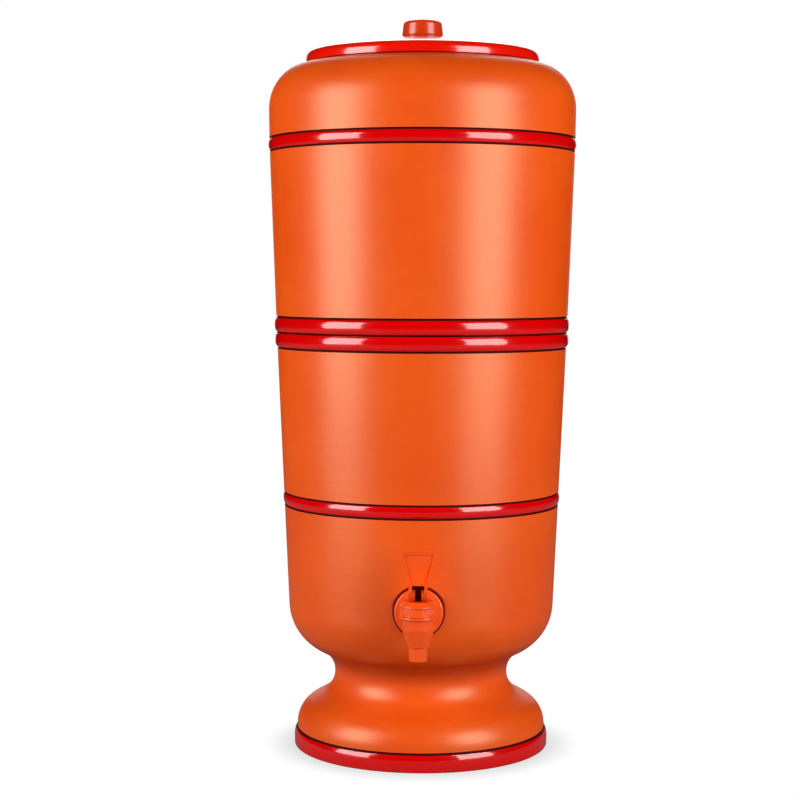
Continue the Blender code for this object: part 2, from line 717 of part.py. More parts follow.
def upper_reservoir(parent, candle_axes):
    outline = upper_inside()
    outline += shoulder_outside()
    outline += bead(TOP_BAND_HEIGHT, TOP_BAND_WIDTH, TOP_BAND_PROUD, upper_wall_radius)
    outline += bead(UPPER_SEAM_BAND, SEAM_BAND_WIDTH, SEAM_BAND_PROUD, upper_wall_radius)
    outline += [
        (SPIGOT_RADIUS, UPPER_BOTTOM),
        (SPIGOT_RADIUS - LIP_ROUND, SPIGOT_BOTTOM),
        (0, SPIGOT_BOTTOM),
    ]
    obj = turned("upper_reservoir", outline, VESSEL_SIDES, parent)
    hole = CANDLE_STEM_RADIUS + STEM_HOLE_CLEARANCE
    low = SPIGOT_BOTTOM - CUT_OVERRUN
    high = UPPER_FLOOR + CUT_OVERRUN
    for number, axis in enumerate(candle_axes, 1):
        cut(obj, cylinder(f"stem_hole_{number}", hole, low, high, CANDLE_SIDES, axis))
    give_finish(obj, CLAY, "clay")
    give_finish(obj, RED_PAINT, "band")
    settle(obj)
    paint_band(obj, TOP_BAND_HEIGHT, TOP_BAND_WIDTH)
    paint_band(obj, UPPER_SEAM_BAND, SEAM_BAND_WIDTH)


# Lid


def lid(parent):
    screw_hole = LID_SCREW_RADIUS + SEAT_GAP
    rim_top_radius = LID_RADIUS - LID_RIM_DRAFT
    edge_centre = (rim_top_radius - LID_EDGE_ROUND, LID_RIM_TOP - LID_EDGE_ROUND)
    crown = LID_RIM_TOP + LID_RISE * LID_CROWN_SHARE
    skirt_outer = MOUTH_RADIUS - LID_SKIRT_CLEARANCE
    skirt_inner = skirt_outer - LID_WALL
    outline = [(screw_hole, KNOB_SEAT), (KNOB_SEAT_RADIUS, KNOB_SEAT), (LID_DOME_RADIUS, crown)]
    outline += arc(edge_centre, LID_EDGE_ROUND, LID_EDGE_START, 0, INNER_SEGMENTS)
    outline += [
        (LID_RADIUS, LID_BOTTOM),
        (skirt_outer, LID_BOTTOM),
        (skirt_outer, LID_BOTTOM - LID_SKIRT_DEPTH),
        (skirt_inner, LID_BOTTOM - LID_SKIRT_DEPTH),
        (skirt_inner, LID_RIM_TOP - LID_WALL),
        (LID_DOME_RADIUS, crown - LID_WALL),
        (KNOB_SEAT_RADIUS, KNOB_SEAT - LID_WALL),
        (screw_hole, KNOB_SEAT - LID_WALL),
    ]
    finish_off(turned("lid", outline, LID_SIDES, parent, closed=True), RED_PLASTIC)


def lid_knob(parent):
    bottom = KNOB_SEAT + SEAT_GAP
    top = bottom + KNOB_HEIGHT
    hole = LID_SCREW_RADIUS + SEAT_GAP
    hole_top = bottom + LID_SCREW_BITE + SEAT_GAP
    edge_centre = (KNOB_RADIUS - KNOB_DRAFT - KNOB_ROUND, top - KNOB_ROUND)
    outline = [(0, top)]
    outline += arc(edge_centre, KNOB_ROUND, 90, 0, INNER_SEGMENTS)
    outline += [
        (KNOB_RADIUS, bottom + KNOB_BASE_HEIGHT),
        (KNOB_RADIUS - KNOB_BASE_CHAMFER, bottom),
        (hole, bottom),
        (hole, hole_top),
        (0, hole_top),
    ]
    finish_off(turned("lid_knob", outline, TAP_SIDES, parent), ORANGE_PLASTIC)


def lid_screw(parent):
    head_top = KNOB_SEAT - LID_WALL - SEAT_GAP
    outline = [
        (0, KNOB_SEAT + LID_SCREW_BITE),
        (LID_SCREW_RADIUS, KNOB_SEAT + LID_SCREW_BITE),
        (LID_SCREW_RADIUS, head_top),
        (LID_SCREW_HEAD_RADIUS, head_top),
        (LID_SCREW_HEAD_RADIUS, head_top - LID_SCREW_HEAD_HEIGHT / 2),
        (LID_SCREW_HEAD_RADIUS / 2, head_top - LID_SCREW_HEAD_HEIGHT),
        (0, head_top - LID_SCREW_HEAD_HEIGHT),
    ]
    finish_off(turned("lid_screw", outline, SMALL_SIDES, parent), STEEL)


# Tap, fixed pieces


def tap_body(parent, spout):
    """Spout, collar and threaded neck, with a flanged shank that passes through the clay."""
    outline = [
        (0, THREAD_TOP),
        (THREAD_RADIUS, THREAD_TOP),
        (THREAD_RADIUS, COLLAR_TOP),
        (COLLAR_RADIUS, COLLAR_TOP),
        (COLLAR_RADIUS, COLLAR_BOTTOM),
        (BARREL_RADIUS, COLLAR_BOTTOM),
        (BARREL_RADIUS, BARREL_BOTTOM),
        (CONE_END_RADIUS, CONE_BOTTOM),
        (NOZZLE_RADIUS, CONE_BOTTOM - NOZZLE_STEP),
        (NOZZLE_RADIUS - NOZZLE_TAPER, NOZZLE_BOTTOM),
        (0, NOZZLE_BOTTOM),
    ]
    obj = turned("tap_body", outline, TAP_SIDES, spout)
    join(obj, tap_branch(parent))
    join(obj, tap_shank(parent))
    chamber = [
        (0, THREAD_TOP + CUT_OVERRUN),
        (CHAMBER_RADIUS, THREAD_TOP + CUT_OVERRUN),
        (CHAMBER_RADIUS, CHAMBER_FLOOR),
        (NOZZLE_BORE_RADIUS, CHAMBER_FLOOR),
        (NOZZLE_BORE_RADIUS, NOZZLE_BOTTOM - CUT_OVERRUN),
        (0, NOZZLE_BOTTOM - CUT_OVERRUN),
    ]
    cut(obj, turned("tap_chamber", chamber, TAP_SIDES, spout))
    place = (0, 0, INLET_HEIGHT)
    low = SHANK_END - CUT_OVERRUN
    cut(obj, cylinder("inlet", INLET_RADIUS, low, SPOUT_AXIS, SMALL_SIDES, parent, place, OUTWARD))
    finish_off(obj, ORANGE_PLASTIC)


def tap_shank(parent):
    """Threaded shank and round flange, turned about the hole's axis."""
    front = FLANGE_BACK + FLANGE_THICKNESS
    edge_centre = (FLANGE_RADIUS - FLANGE_ROUND, front - FLANGE_ROUND)
    outline = [(0, front)]
    outline += arc(edge_centre, FLANGE_ROUND, 90, 0, EDGE_SEGMENTS)
    outline += [
        (FLANGE_RADIUS, FLANGE_BACK),
        (SHANK_RADIUS, FLANGE_BACK),
        (SHANK_RADIUS, SHANK_END),
        (0, SHANK_END),
    ]
    return turned("tap_shank", outline, TAP_SIDES, parent, (0, 0, TAP_HEIGHT), OUTWARD)


def tap_branch(parent):
    """The short branch between the flange and the spout's barrel."""
    start = FLANGE_BACK + FLANGE_THICKNESS / 2
    middle = (start + SPOUT_AXIS) / 2
    outline = rectangle(BRANCH_WIDTH, BRANCH_HEIGHT, BRANCH_ROUND)
    place = (0, -middle, INLET_HEIGHT)
    return plate("tap_branch", outline, SPOUT_AXIS - start, parent, place, FRONT_VIEW)


def tap_bonnet(spout):
    """The ribbed cap that screws onto the body and guides the stem."""
    bore = THREAD_RADIUS + SEAT_GAP
    bead_middle = BONNET_TOP - BONNET_SHOULDER_HEIGHT
    outline = [
        (0, BONNET_TOP),
        (BONNET_TOP_RADIUS, BONNET_TOP),
        (BONNET_RADIUS, bead_middle),
        (BONNET_RADIUS, bead_middle - BONNET_BEAD_HEIGHT / 2),
        (BONNET_WAIST_RADIUS, bead_middle - BONNET_BEAD_HEIGHT),
        (BONNET_WAIST_RADIUS, BONNET_BOTTOM + BONNET_BEAD_HEIGHT),
        (BONNET_RADIUS, BONNET_BOTTOM + BONNET_BEAD_HEIGHT / 2),
        (BONNET_RADIUS, BONNET_BOTTOM),
        (0, BONNET_BOTTOM),
    ]
    obj = turned("tap_bonnet", outline, TAP_SIDES, spout)
    ribs_low = BONNET_BOTTOM + BONNET_BEAD_HEIGHT / 2
    ribs_high = bead_middle - BONNET_BEAD_HEIGHT / 2
    middle = (0, 0, (ribs_low + ribs_high) / 2)
    join(obj, plate("bonnet_ribs", rib_outline(), ribs_high - ribs_low, spout, middle))
    low = BONNET_BOTTOM - CUT_OVERRUN
    cut(obj, cylinder("bonnet_bore", bore, low, BONNET_CEILING, TAP_SIDES, spout))
    slot = rectangle(BLADE_WIDTH + 2 * SEAT_GAP, BLADE_THICKNESS + 2 * SEAT_GAP)
    cut(obj, plate("blade_slot", slot, 2 * CUT_OVERRUN, spout, (0, 0, BONNET_TOP)))
    finish_off(obj, ORANGE_PLASTIC)


def rib_outline():
    """Fine upright ribs around the bonnet's waist, seen from above."""
    points = []
    for step in range(2 * BONNET_RIBS):
        angle = math.pi * step / BONNET_RIBS
        radius = BONNET_WAIST_RADIUS + BONNET_RIB_DEPTH * (step % 2)
        points.append((radius * math.cos(angle), radius * math.sin(angle)))
    return points


def tap_gaskets(parent):
    hole = SHANK_RADIUS + SEAT_GAP
    place = (0, 0, TAP_HEIGHT)
    radii = (OUTER_GASKET_RADIUS, hole)
    low = SEAT_PLANE + SEAT_GAP
    high = low + GASKET_THICKNESS
    outer = ring("tap_outer_gasket", radii, low, high, TAP_SIDES, parent, place, OUTWARD)
    finish_off(outer, DARK_RUBBER)
    radii = (INNER_GASKET_RADIUS, hole)
    high = INNER_PLANE - SEAT_GAP
    low = high - GASKET_THICKNESS
    inner = ring("tap_inner_gasket", radii, low, high, TAP_SIDES, parent, place, OUTWARD)
    finish_off(inner, DARK_RUBBER)


def tap_back_nut(parent):
    """Hexagon nut that holds the shank from inside the reservoir."""
    corner_radius = BACK_NUT_FLATS / 2 / math.cos(math.pi / BACK_NUT_SIDES)
    hexagon = arc((0, 0), corner_radius, 0, 360, BACK_NUT_SIDES)[:-1]
    place = (0, BACK_NUT_THICKNESS / 2 - NUT_FACE, TAP_HEIGHT)
    obj = plate("tap_back_nut", hexagon, BACK_NUT_THICKNESS, parent, place, OUTWARD)
    bore = SHANK_RADIUS + SEAT_GAP
    reach = BACK_NUT_THICKNESS
    cut(obj, cylinder("nut_bore", bore, -reach, reach, TAP_SIDES, parent, place, OUTWARD))
    finish_off(obj, ORANGE_PLASTIC)


# Tap, moving pieces


def tap_stem(spout):
    """Stem with a flat blade that runs in the bonnet's slot and a cross head for the lever."""
    foot_bottom = SEAL_SOCKET_FLOOR + SEAT_GAP
    outline = [
        (0, BLADE_BOTTOM),
        (STEM_RADIUS, BLADE_BOTTOM),
        (STEM_RADIUS, STEM_COLLAR_TOP),
        (SEAL_RADIUS, STEM_COLLAR_TOP),
        (SEAL_RADIUS, STEM_COLLAR_BOTTOM),
        (STEM_FOOT_RADIUS, STEM_COLLAR_BOTTOM),
        (STEM_FOOT_RADIUS, foot_bottom),
        (0, foot_bottom),
    ]
    obj = turned("tap_stem", outline, SMALL_SIDES, spout)
    blade_start = BLADE_BOTTOM - STEM_RADIUS / 2
    middle = (0, 0, (blade_start + PIVOT_HEIGHT) / 2)
    section = rectangle(BLADE_WIDTH, BLADE_THICKNESS)
    join(obj, plate("stem_blade", section, PIVOT_HEIGHT - blade_start, spout, middle))
    pivot_end = PIVOT_WIDTH / 2
    head_end = STEM_HEAD_WIDTH / 2
    head = [
        (0, pivot_end),
        (PIVOT_RADIUS, pivot_end),
        (PIVOT_RADIUS, head_end),
        (HEAD_RADIUS, head_end),
        (HEAD_RADIUS, -head_end),
        (PIVOT_RADIUS, -head_end),
        (PIVOT_RADIUS, -pivot_end),
        (0, -pivot_end),
    ]
    join(obj, turned("stem_head", head, SMALL_SIDES, spout, (0, 0, PIVOT_HEIGHT), ACROSS))
    finish_off(obj, DARK_RUBBER)


def tap_seat_seal(spout):
    socket = STEM_FOOT_RADIUS + SEAT_GAP
    outline = [
        (0, SEAL_SOCKET_FLOOR),
        (socket, SEAL_SOCKET_FLOOR),
        (socket, SEAL_TOP),
        (SEAL_RADIUS, SEAL_TOP),
        (SEAL_RADIUS, SEAL_BOTTOM),
        (0, SEAL_BOTTOM),
    ]
    finish_off(turned("tap_seat_seal", outline, SMALL_SIDES, spout), CLEAR_SILICONE)


def tap_spring(spout):
    """Return spring between the stem's collar and the bonnet, as one unbroken helix."""
    low = STEM_COLLAR_TOP + SEAT_GAP + SPRING_WIRE_RADIUS
    high = BONNET_CEILING - SEAT_GAP - SPRING_WIRE_RADIUS
    count = SPRING_TURNS * SPRING_POINTS_PER_TURN
    points = []
    for step in range(count + 1):
        share = step / count
        angle = 2 * math.pi * SPRING_TURNS * share
        across = SPRING_RADIUS * math.cos(angle)
        along = SPRING_RADIUS * math.sin(angle)
        points.append((across, along, low + (high - low) * share))
    finish_off(wire("tap_spring", points, SPRING_WIRE_RADIUS, spout), STEEL)


def cam_outline():
    """Side view of the lever's feet about the pivot.

    The distance from the pivot to the bonnet grows evenly with the swing, so the
    feet's front is the curve that keeps touching a flat top all the way.
    """
    rise = STEM_LIFT / LEVER_SWING
    foot = PIVOT_RISE - SEAT_GAP
    points = [(LEVER_BACK, LEVER_ROOT_HEIGHT), (LEVER_BACK, -foot)]
    for step in range(CAM_SEGMENTS + 1):
        swing = LEVER_SWING * step / CAM_SEGMENTS
        reach = foot + rise * swing
        across = -reach * math.sin(swing) - rise * math.cos(swing)
        up = -reach * math.cos(swing) + rise * math.sin(swing)
        points.append((across, up))
    nose, chin = points[-1]
    front = LEVER_BACK - LEVER_PADDLE_THICKNESS
    points += [
        (nose + LEVER_NOSE_ROUND, chin + LEVER_NOSE_ROUND),
        (front, LEVER_BROW_HEIGHT),
        (front, LEVER_ROOT_HEIGHT),
    ]
    return points


def paddle_outline(bottom, top, inset, rounding):
    """Front view of the paddle between two heights over the pivot, drawn in by an inset."""
    slope = (LEVER_TOP_WIDTH - LEVER_FOOT_WIDTH) / 2 / LEVER_PADDLE_HEIGHT
    low = LEVER_FOOT_WIDTH / 2 + slope * (bottom - HEAD_ROOM) - inset
    high = LEVER_FOOT_WIDTH / 2 + slope * (top - HEAD_ROOM) - inset
    corners = [(-low, bottom, 0), (low, bottom, 0), (high, top, rounding), (-high, top, rounding)]
    return rounded_loop(corners)


def window_outline():
    """The gap between the feet: a slot for the blade that widens for the stem's head."""
    window = STEM_HEAD_WIDTH / 2 + SEAT_GAP
    slot = BLADE_WIDTH / 2 + SEAT_GAP
    ledge = -HEAD_RADIUS - SEAT_GAP
    below = -PIVOT_RISE - CUT_OVERRUN
    return [
        (-slot, below),
        (slot, below),
        (slot, ledge),
        (window, ledge),
        (window, HEAD_ROOM),
        (-window, HEAD_ROOM),
        (-window, ledge),
        (-slot, ledge),
    ]


def tap_lever(pivot):
    """Fork lever: a paddle with a raised rim over two cam feet that straddle the stem."""
    top = HEAD_ROOM + LEVER_PADDLE_HEIGHT
    middle = (0, LEVER_BACK - LEVER_PADDLE_THICKNESS / 2, 0)
    obj = plate("tap_lever", cam_outline(), LEVER_FOOT_WIDTH, pivot, (0, 0, 0), SIDE_VIEW)
    outline = paddle_outline(HEAD_ROOM, top, 0, LEVER_CORNER_ROUND)
    join(obj, plate("paddle", outline, LEVER_PADDLE_THICKNESS, pivot, middle, FRONT_VIEW))
    bottom = HEAD_ROOM + LEVER_SILL_WIDTH
    inner_top = top - LEVER_RIM_WIDTH
    outline = paddle_outline(bottom, inner_top, LEVER_RIM_WIDTH, LEVER_CORNER_ROUND / 2)
    front = LEVER_BACK - LEVER_PADDLE_THICKNESS
    place = (0, front + LEVER_RECESS_DEPTH - SPOUT_AXIS, 0)
    cut(obj, plate("recess", outline, 2 * SPOUT_AXIS, pivot, place, FRONT_VIEW))
    cut(obj, plate("window", window_outline(), 2 * SPOUT_AXIS, pivot, (0, 0, 0), FRONT_VIEW))
    hole = PIVOT_RADIUS + SEAT_GAP
    end = PIVOT_WIDTH / 2 + SEAT_GAP
    cut(obj, cylinder("pivot_hole", hole, -end, end, SMALL_SIDES, pivot, (0, 0, 0), ACROSS))
    finish_off(obj, ORANGE_PLASTIC)


# Candles


def dome(radius, height, base):
    """A quarter ellipse from the axis down to its full radius."""
    points = ellipse((0, base), (radius, height), 90, 0)
    points[0] = (0, base + height)
    return points


def candle_ceramic(axis, number):
    """Domed ceramic shell, open below."""
    shoulder = CANDLE_BOTTOM + CANDLE_HEIGHT - CANDLE_DOME_HEIGHT
    inner_radius = CANDLE_RADIUS - CANDLE_WALL
    outline = dome(CANDLE_RADIUS, CANDLE_DOME_HEIGHT, shoulder)
    outline += [(CANDLE_RADIUS, CANDLE_BOTTOM), (inner_radius, CANDLE_BOTTOM)]
    outline += reversed(dome(inner_radius, CANDLE_DOME_HEIGHT - CANDLE_WALL, shoulder))
    finish_off(turned(f"candle_ceramic_{number}", outline, CANDLE_SIDES, axis), CERAMIC)


def candle_base(axis, number):
    """Plastic cup under the ceramic, with a hollow threaded stem."""
    cup = CANDLE_RADIUS + SEAT_GAP
    floor = CANDLE_BASE_BOTTOM + CANDLE_BASE_FLOOR
    outline = [
        (cup, CANDLE_BASE_BOTTOM + CANDLE_BASE_RIM),
        (CANDLE_BASE_RADIUS, CANDLE_BASE_BOTTOM + CANDLE_BASE_RIM),
        (CANDLE_BASE_RADIUS, CANDLE_BASE_BOTTOM),
        (CANDLE_STEM_RADIUS, CANDLE_BASE_BOTTOM),
        (CANDLE_STEM_RADIUS, CANDLE_STEM_BOTTOM),
        (CANDLE_STEM_BORE_RADIUS, CANDLE_STEM_BOTTOM),
        (CANDLE_STEM_BORE_RADIUS, floor),
        (cup, floor),
    ]
    obj = turned(f"candle_base_{number}", outline, CANDLE_SIDES, axis, closed=True)
    finish_off(obj, WHITE_PLASTIC)


def candle_carbon(axis, number):
    """Carbon fill in the lower part of the candle."""
    radius = CANDLE_RADIUS - CANDLE_WALL - SEAT_GAP
    top = CANDLE_BOTTOM + CARBON_DEPTH
    name = f"candle_carbon_{number}"
    finish_off(cylinder(name, radius, CANDLE_BOTTOM, top, CANDLE_SIDES, axis), CARBON)


def candle_gasket(axis, number):
    radii = (CANDLE_GASKET_RADIUS, CANDLE_STEM_RADIUS + SEAT_GAP)
    top = CANDLE_GASKET_BOTTOM + CANDLE_GASKET_THICKNESS
    name = f"candle_gasket_{number}"
    obj = ring(name, radii, CANDLE_GASKET_BOTTOM, top, CANDLE_SIDES, axis)
    finish_off(obj, CLEAR_SILICONE)


def candle_wing_nut(axis, number):
    """Wing nut that clamps the candle from under the floor."""
    name = f"candle_wing_nut_{number}"
    obj = cylinder(name, WING_NUT_RADIUS, WING_NUT_BOTTOM, WING_NUT_TOP, SMALL_SIDES, axis)
    middle = (0, 0, (WING_NUT_BOTTOM + WING_NUT_TOP) / 2)
    height = WING_NUT_HEIGHT - 2 * WING_MARGIN
    wings = rectangle(WING_SPAN, height)
    join(obj, plate(f"wings_{number}", wings, WING_THICKNESS, axis, middle, FRONT_VIEW))
    bore = CANDLE_STEM_RADIUS + SEAT_GAP
    low = WING_NUT_BOTTOM - CUT_OVERRUN
    high = WING_NUT_TOP + CUT_OVERRUN
    cut(obj, cylinder(f"wing_nut_bore_{number}", bore, low, high, CANDLE_SIDES, axis))
    finish_off(obj, WHITE_PLASTIC)


# Float valves: an axis's local X points along the arm


def float_valve_body(axis, number):
    """Socket that screws onto the candle's stem, with a nipple and a forked hinge lug."""
    socket = CANDLE_STEM_RADIUS + SEAT_GAP
    outline = [
        (socket, VALVE_TOP),
        (VALVE_RADIUS, VALVE_TOP),
        (VALVE_RADIUS, VALVE_BOTTOM),
        (VALVE_NIPPLE_RADIUS, VALVE_BOTTOM),
        (VALVE_NIPPLE_RADIUS, NIPPLE_BOTTOM),
        (VALVE_BORE_RADIUS, NIPPLE_BOTTOM),
        (VALVE_BORE_RADIUS, VALVE_SOCKET_FLOOR),
        (socket, VALVE_SOCKET_FLOOR),
    ]
    obj = turned(f"float_valve_body_{number}", outline, CANDLE_SIDES, axis, closed=True)
    slot_width = ARM_WIDTH + 2 * SEAT_GAP
    lug_width = slot_width + 2 * LUG_WALL
    lug = plate(f"lug_{number}", lug_outline(), lug_width, axis, (0, 0, 0), FRONT_VIEW)
    join(obj, lug)
    roof = HINGE_HEIGHT + TAIL_STOP
    floor = HINGE_HEIGHT - LUG_RADIUS - CUT_OVERRUN
    slot = rectangle(2 * (LUG_RADIUS + CUT_OVERRUN), roof - floor)
    place = (-HINGE_OFFSET, 0, (roof + floor) / 2)
    cut(obj, plate(f"lug_slot_{number}", slot, slot_width, axis, place, FRONT_VIEW))
    hole = HINGE_PIN_RADIUS + SEAT_GAP
    place = (-HINGE_OFFSET, 0, HINGE_HEIGHT)
    name = f"lug_hole_{number}"
    cut(obj, cylinder(name, hole, -lug_width, lug_width, SMALL_SIDES, axis, place, ALONG))
    finish_off(obj, WHITE_PLASTIC)


def lug_outline():
    """Side view of the hinge lug, from its round end up to the valve's side."""
    top = VALVE_BOTTOM + LUG_RISE
    foot = VALVE_BOTTOM + LUG_FOOT_RISE
    inner = -VALVE_RADIUS / 2
    outline = arc((-HINGE_OFFSET, HINGE_HEIGHT), LUG_RADIUS, 180, 360)
    outline += [(LUG_RADIUS - HINGE_OFFSET, foot), (inner, foot), (inner, top)]
    outline.append((-HINGE_OFFSET - LUG_RADIUS, top))
    return outline


def float_hinge_pin(axis, number):
    half = HINGE_PIN_LENGTH / 2
    place = (-HINGE_OFFSET, 0, HINGE_HEIGHT)
    name = f"float_hinge_pin_{number}"
    pin = cylinder(name, HINGE_PIN_RADIUS, -half, half, SMALL_SIDES, axis, place, ALONG)
    finish_off(pin, STEEL)


# Pieces of the swinging arm: origin on the hinge, drawn with the valve shut


def float_arm(hinge, number):
    """Arm with the pad's pocket, ending in an eye for the float's stud."""
    half = ARM_BAR_WIDTH / 2
    waist = math.degrees(math.asin(half / ARM_EYE_RADIUS))
    outline = [(-ARM_TAIL, half), (-ARM_TAIL, -half)]
    outline += arc((ARM_END, 0), ARM_EYE_RADIUS, waist - 180, 180 - waist, EYE_SEGMENTS)
    middle = (0, 0, (ARM_TOP + ARM_BOTTOM) / 2)
    obj = plate(f"float_arm_{number}", outline, ARM_HEIGHT, hinge, middle)
    end = (ARM_END, 0, 0)
    half = ARM_WIDTH / 2
    knuckle = LUG_RADIUS - SEAT_GAP
    name = f"arm_knuckle_{number}"
    join(obj, cylinder(name, knuckle, -half, half, SMALL_SIDES, hinge, (0, 0, 0), ALONG))
    hole = HINGE_PIN_RADIUS + SEAT_GAP
    name = f"arm_pin_hole_{number}"
    wide = ARM_WIDTH
    cut(obj, cylinder(name, hole, -wide, wide, SMALL_SIDES, hinge, (0, 0, 0), ALONG))
    hole = STUD_RADIUS + SEAT_GAP
    low = ARM_BOTTOM - CUT_OVERRUN
    high = ARM_TOP + CUT_OVERRUN
    cut(obj, cylinder(f"stud_hole_{number}", hole, low, high, CANDLE_SIDES, hinge, end))
    pocket = PAD_RADIUS + SEAT_GAP
    floor = ARM_TOP - PAD_SINK - SEAT_GAP
    place = (HINGE_OFFSET, 0, 0)
    cut(obj, cylinder(f"pad_pocket_{number}", pocket, floor, high, SMALL_SIDES, hinge, place))
    finish_off(obj, WHITE_PLASTIC)


def float_valve_pad(hinge, number):
    low = ARM_TOP - PAD_SINK
    high = low + PAD_THICKNESS
    place = (HINGE_OFFSET, 0, 0)
    name = f"float_valve_pad_{number}"
    pad = cylinder(name, PAD_RADIUS, low, high, SMALL_SIDES, hinge, place)
    finish_off(pad, DARK_RUBBER)


def float_cap(hinge, number):
    """Lid of the float, with the stud that snaps into the arm's eye."""
    top = ARM_BOTTOM - SEAT_GAP
    bottom = top - FLOAT_WALL
    shoulder = ARM_TOP + SEAT_GAP
    plug = FLOAT_RADIUS - FLOAT_WALL - SEAT_GAP
    outline = [
        (0, shoulder + STUD_HEAD_HEIGHT),
        (STUD_RADIUS, shoulder + STUD_HEAD_HEIGHT),
        (STUD_HEAD_RADIUS, shoulder + SEAT_GAP),
        (STUD_HEAD_RADIUS, shoulder),
        (STUD_RADIUS, shoulder),
        (STUD_RADIUS, top),
        (FLOAT_RADIUS, top),
        (FLOAT_RADIUS, bottom),
        (plug, bottom),
        (plug, bottom - FLOAT_WALL),
        (0, bottom - FLOAT_WALL),
    ]
    name = f"float_cap_{number}"
    finish_off(turned(name, outline, CANDLE_SIDES, hinge, (ARM_END, 0, 0)), WHITE_PLASTIC)


def float_cup(hinge, number):
    """Hollow float under the cap, open at its top."""
    top = ARM_BOTTOM - SEAT_GAP - FLOAT_WALL - SEAT_GAP
    bottom = top - FLOAT_HEIGHT
    inner = FLOAT_RADIUS - FLOAT_WALL
    inner_round = FLOAT_ROUND - FLOAT_WALL
    inner_floor = bottom + FLOAT_WALL
    inner_centre = (inner - inner_round, inner_floor + inner_round)
    outer_centre = (FLOAT_RADIUS - FLOAT_ROUND, bottom + FLOAT_ROUND)
    outline = [(0, inner_floor)]
    outline += arc(inner_centre, inner_round, -90, 0, EDGE_SEGMENTS)
    outline += [(inner, top), (FLOAT_RADIUS, top)]
    outline += arc(outer_centre, FLOAT_ROUND, 0, -90, EDGE_SEGMENTS)
    outline.append((0, bottom))
    name = f"float_cup_{number}"
    finish_off(turned(name, outline, CANDLE_SIDES, hinge, (ARM_END, 0, 0)), WHITE_PLASTIC)


def candle_set(axis, number):
    """One candle with its fixings and float valve, on its own vertical axis."""
    candle_ceramic(axis, number)
    candle_base(axis, number)
    candle_carbon(axis, number)
    candle_gasket(axis, number)
    candle_wing_nut(axis, number)
    float_valve_body(axis, number)
    float_hinge_pin(axis, number)
    place = (-HINGE_OFFSET, 0, HINGE_HEIGHT)
    hinge = make_object(f"float_hinge_{number}", None, axis, place, (0, FLOAT_DROP, 0))
    float_arm(hinge, number)
    float_valve_pad(hinge, number)
    float_cap(hinge, number)
    float_cup(hinge, number)


def main():
    vessel = make_object("vessel_axis", None, None, (0, VESSEL_AXIS_Y, 0))
    offset = CANDLE_SPACING / 2
    candle_axes = [
        make_object("candle_axis_1", None, vessel, (-offset, 0, 0), (0, 0, -QUARTER_TURN)),
        make_object("candle_axis_2", None, vessel, (offset, 0, 0), (0, 0, QUARTER_TURN)),
    ]
    spout = make_object("spout_axis", None, vessel, (0, -SPOUT_AXIS, 0))
    pivot = make_object("lever_pivot", None, spout, (0, 0, PIVOT_HEIGHT))
    lower_reservoir(vessel)
    upper_reservoir(vessel, candle_axes)
    lid(vessel)
    lid_knob(vessel)
    lid_screw(vessel)
    tap_body(vessel, spout)
    tap_gaskets(vessel)
    tap_back_nut(vessel)
    tap_bonnet(spout)
    tap_stem(spout)
    tap_seat_seal(spout)
    tap_spring(spout)
    tap_lever(pivot)
    for number, axis in enumerate(candle_axes, 1):
        candle_set(axis, number)


main()
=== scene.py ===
"""Two-chamber clay water filter, dressed over its measured solids.

The vessel axis is vertical. The tap faces -Y and the object stands on z = 0.
Sizes are in metres.
"""

import math

import bmesh
import bpy
from mathutils import Euler, Matrix, Vector


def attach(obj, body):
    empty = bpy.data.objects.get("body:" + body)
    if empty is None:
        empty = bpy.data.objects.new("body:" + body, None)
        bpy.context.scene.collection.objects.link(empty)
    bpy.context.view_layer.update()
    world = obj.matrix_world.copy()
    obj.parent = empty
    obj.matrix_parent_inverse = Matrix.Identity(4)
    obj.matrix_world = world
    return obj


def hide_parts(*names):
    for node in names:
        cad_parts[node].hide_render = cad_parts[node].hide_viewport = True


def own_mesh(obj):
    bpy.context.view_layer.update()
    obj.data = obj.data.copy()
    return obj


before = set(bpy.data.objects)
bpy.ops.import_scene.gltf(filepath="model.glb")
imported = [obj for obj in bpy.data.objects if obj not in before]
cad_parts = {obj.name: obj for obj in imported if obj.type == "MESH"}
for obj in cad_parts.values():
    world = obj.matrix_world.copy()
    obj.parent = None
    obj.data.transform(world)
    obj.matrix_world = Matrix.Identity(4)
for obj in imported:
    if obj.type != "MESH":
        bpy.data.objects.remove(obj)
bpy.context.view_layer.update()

bl_info = {
    "name": "Clay Water Filter",
    "version": (1, 0, 0),
    "blender": (4, 5, 0),
    "location": "View3D > Sidebar > Water Filter",
    "description": "Models a clay water filter with its tap, candles and float valves",
    "category": "Object",
}

# Fits and fineness
GAP = 0.0003  # between pieces that rest on or run in each other
OVERRUN = 0.004  # how far a cutter runs past what it cuts
WELD = 0.000002
VESSEL_SIDES = 160
LID_SIDES = 160
TAP_SIDES = 72
SMALL_SIDES = 40
CURVE_STEPS = 12
EDGE_STEPS = 4
BAND_STEPS = 14
CLOSE = 10 * WELD  # how near a point counts as on a radius
POINTS_PER_GRIP = 4  # around the cap and the cups
QUARTER = math.radians(90)
SMOOTH_ANGLE = math.radians(32)

# Places of the axes
AXIS_Y = 0.014002  # the vessel's axis
SPOUT_Y = -0.128302  # the spout's axis
SPOUT_REACH = AXIS_Y - SPOUT_Y

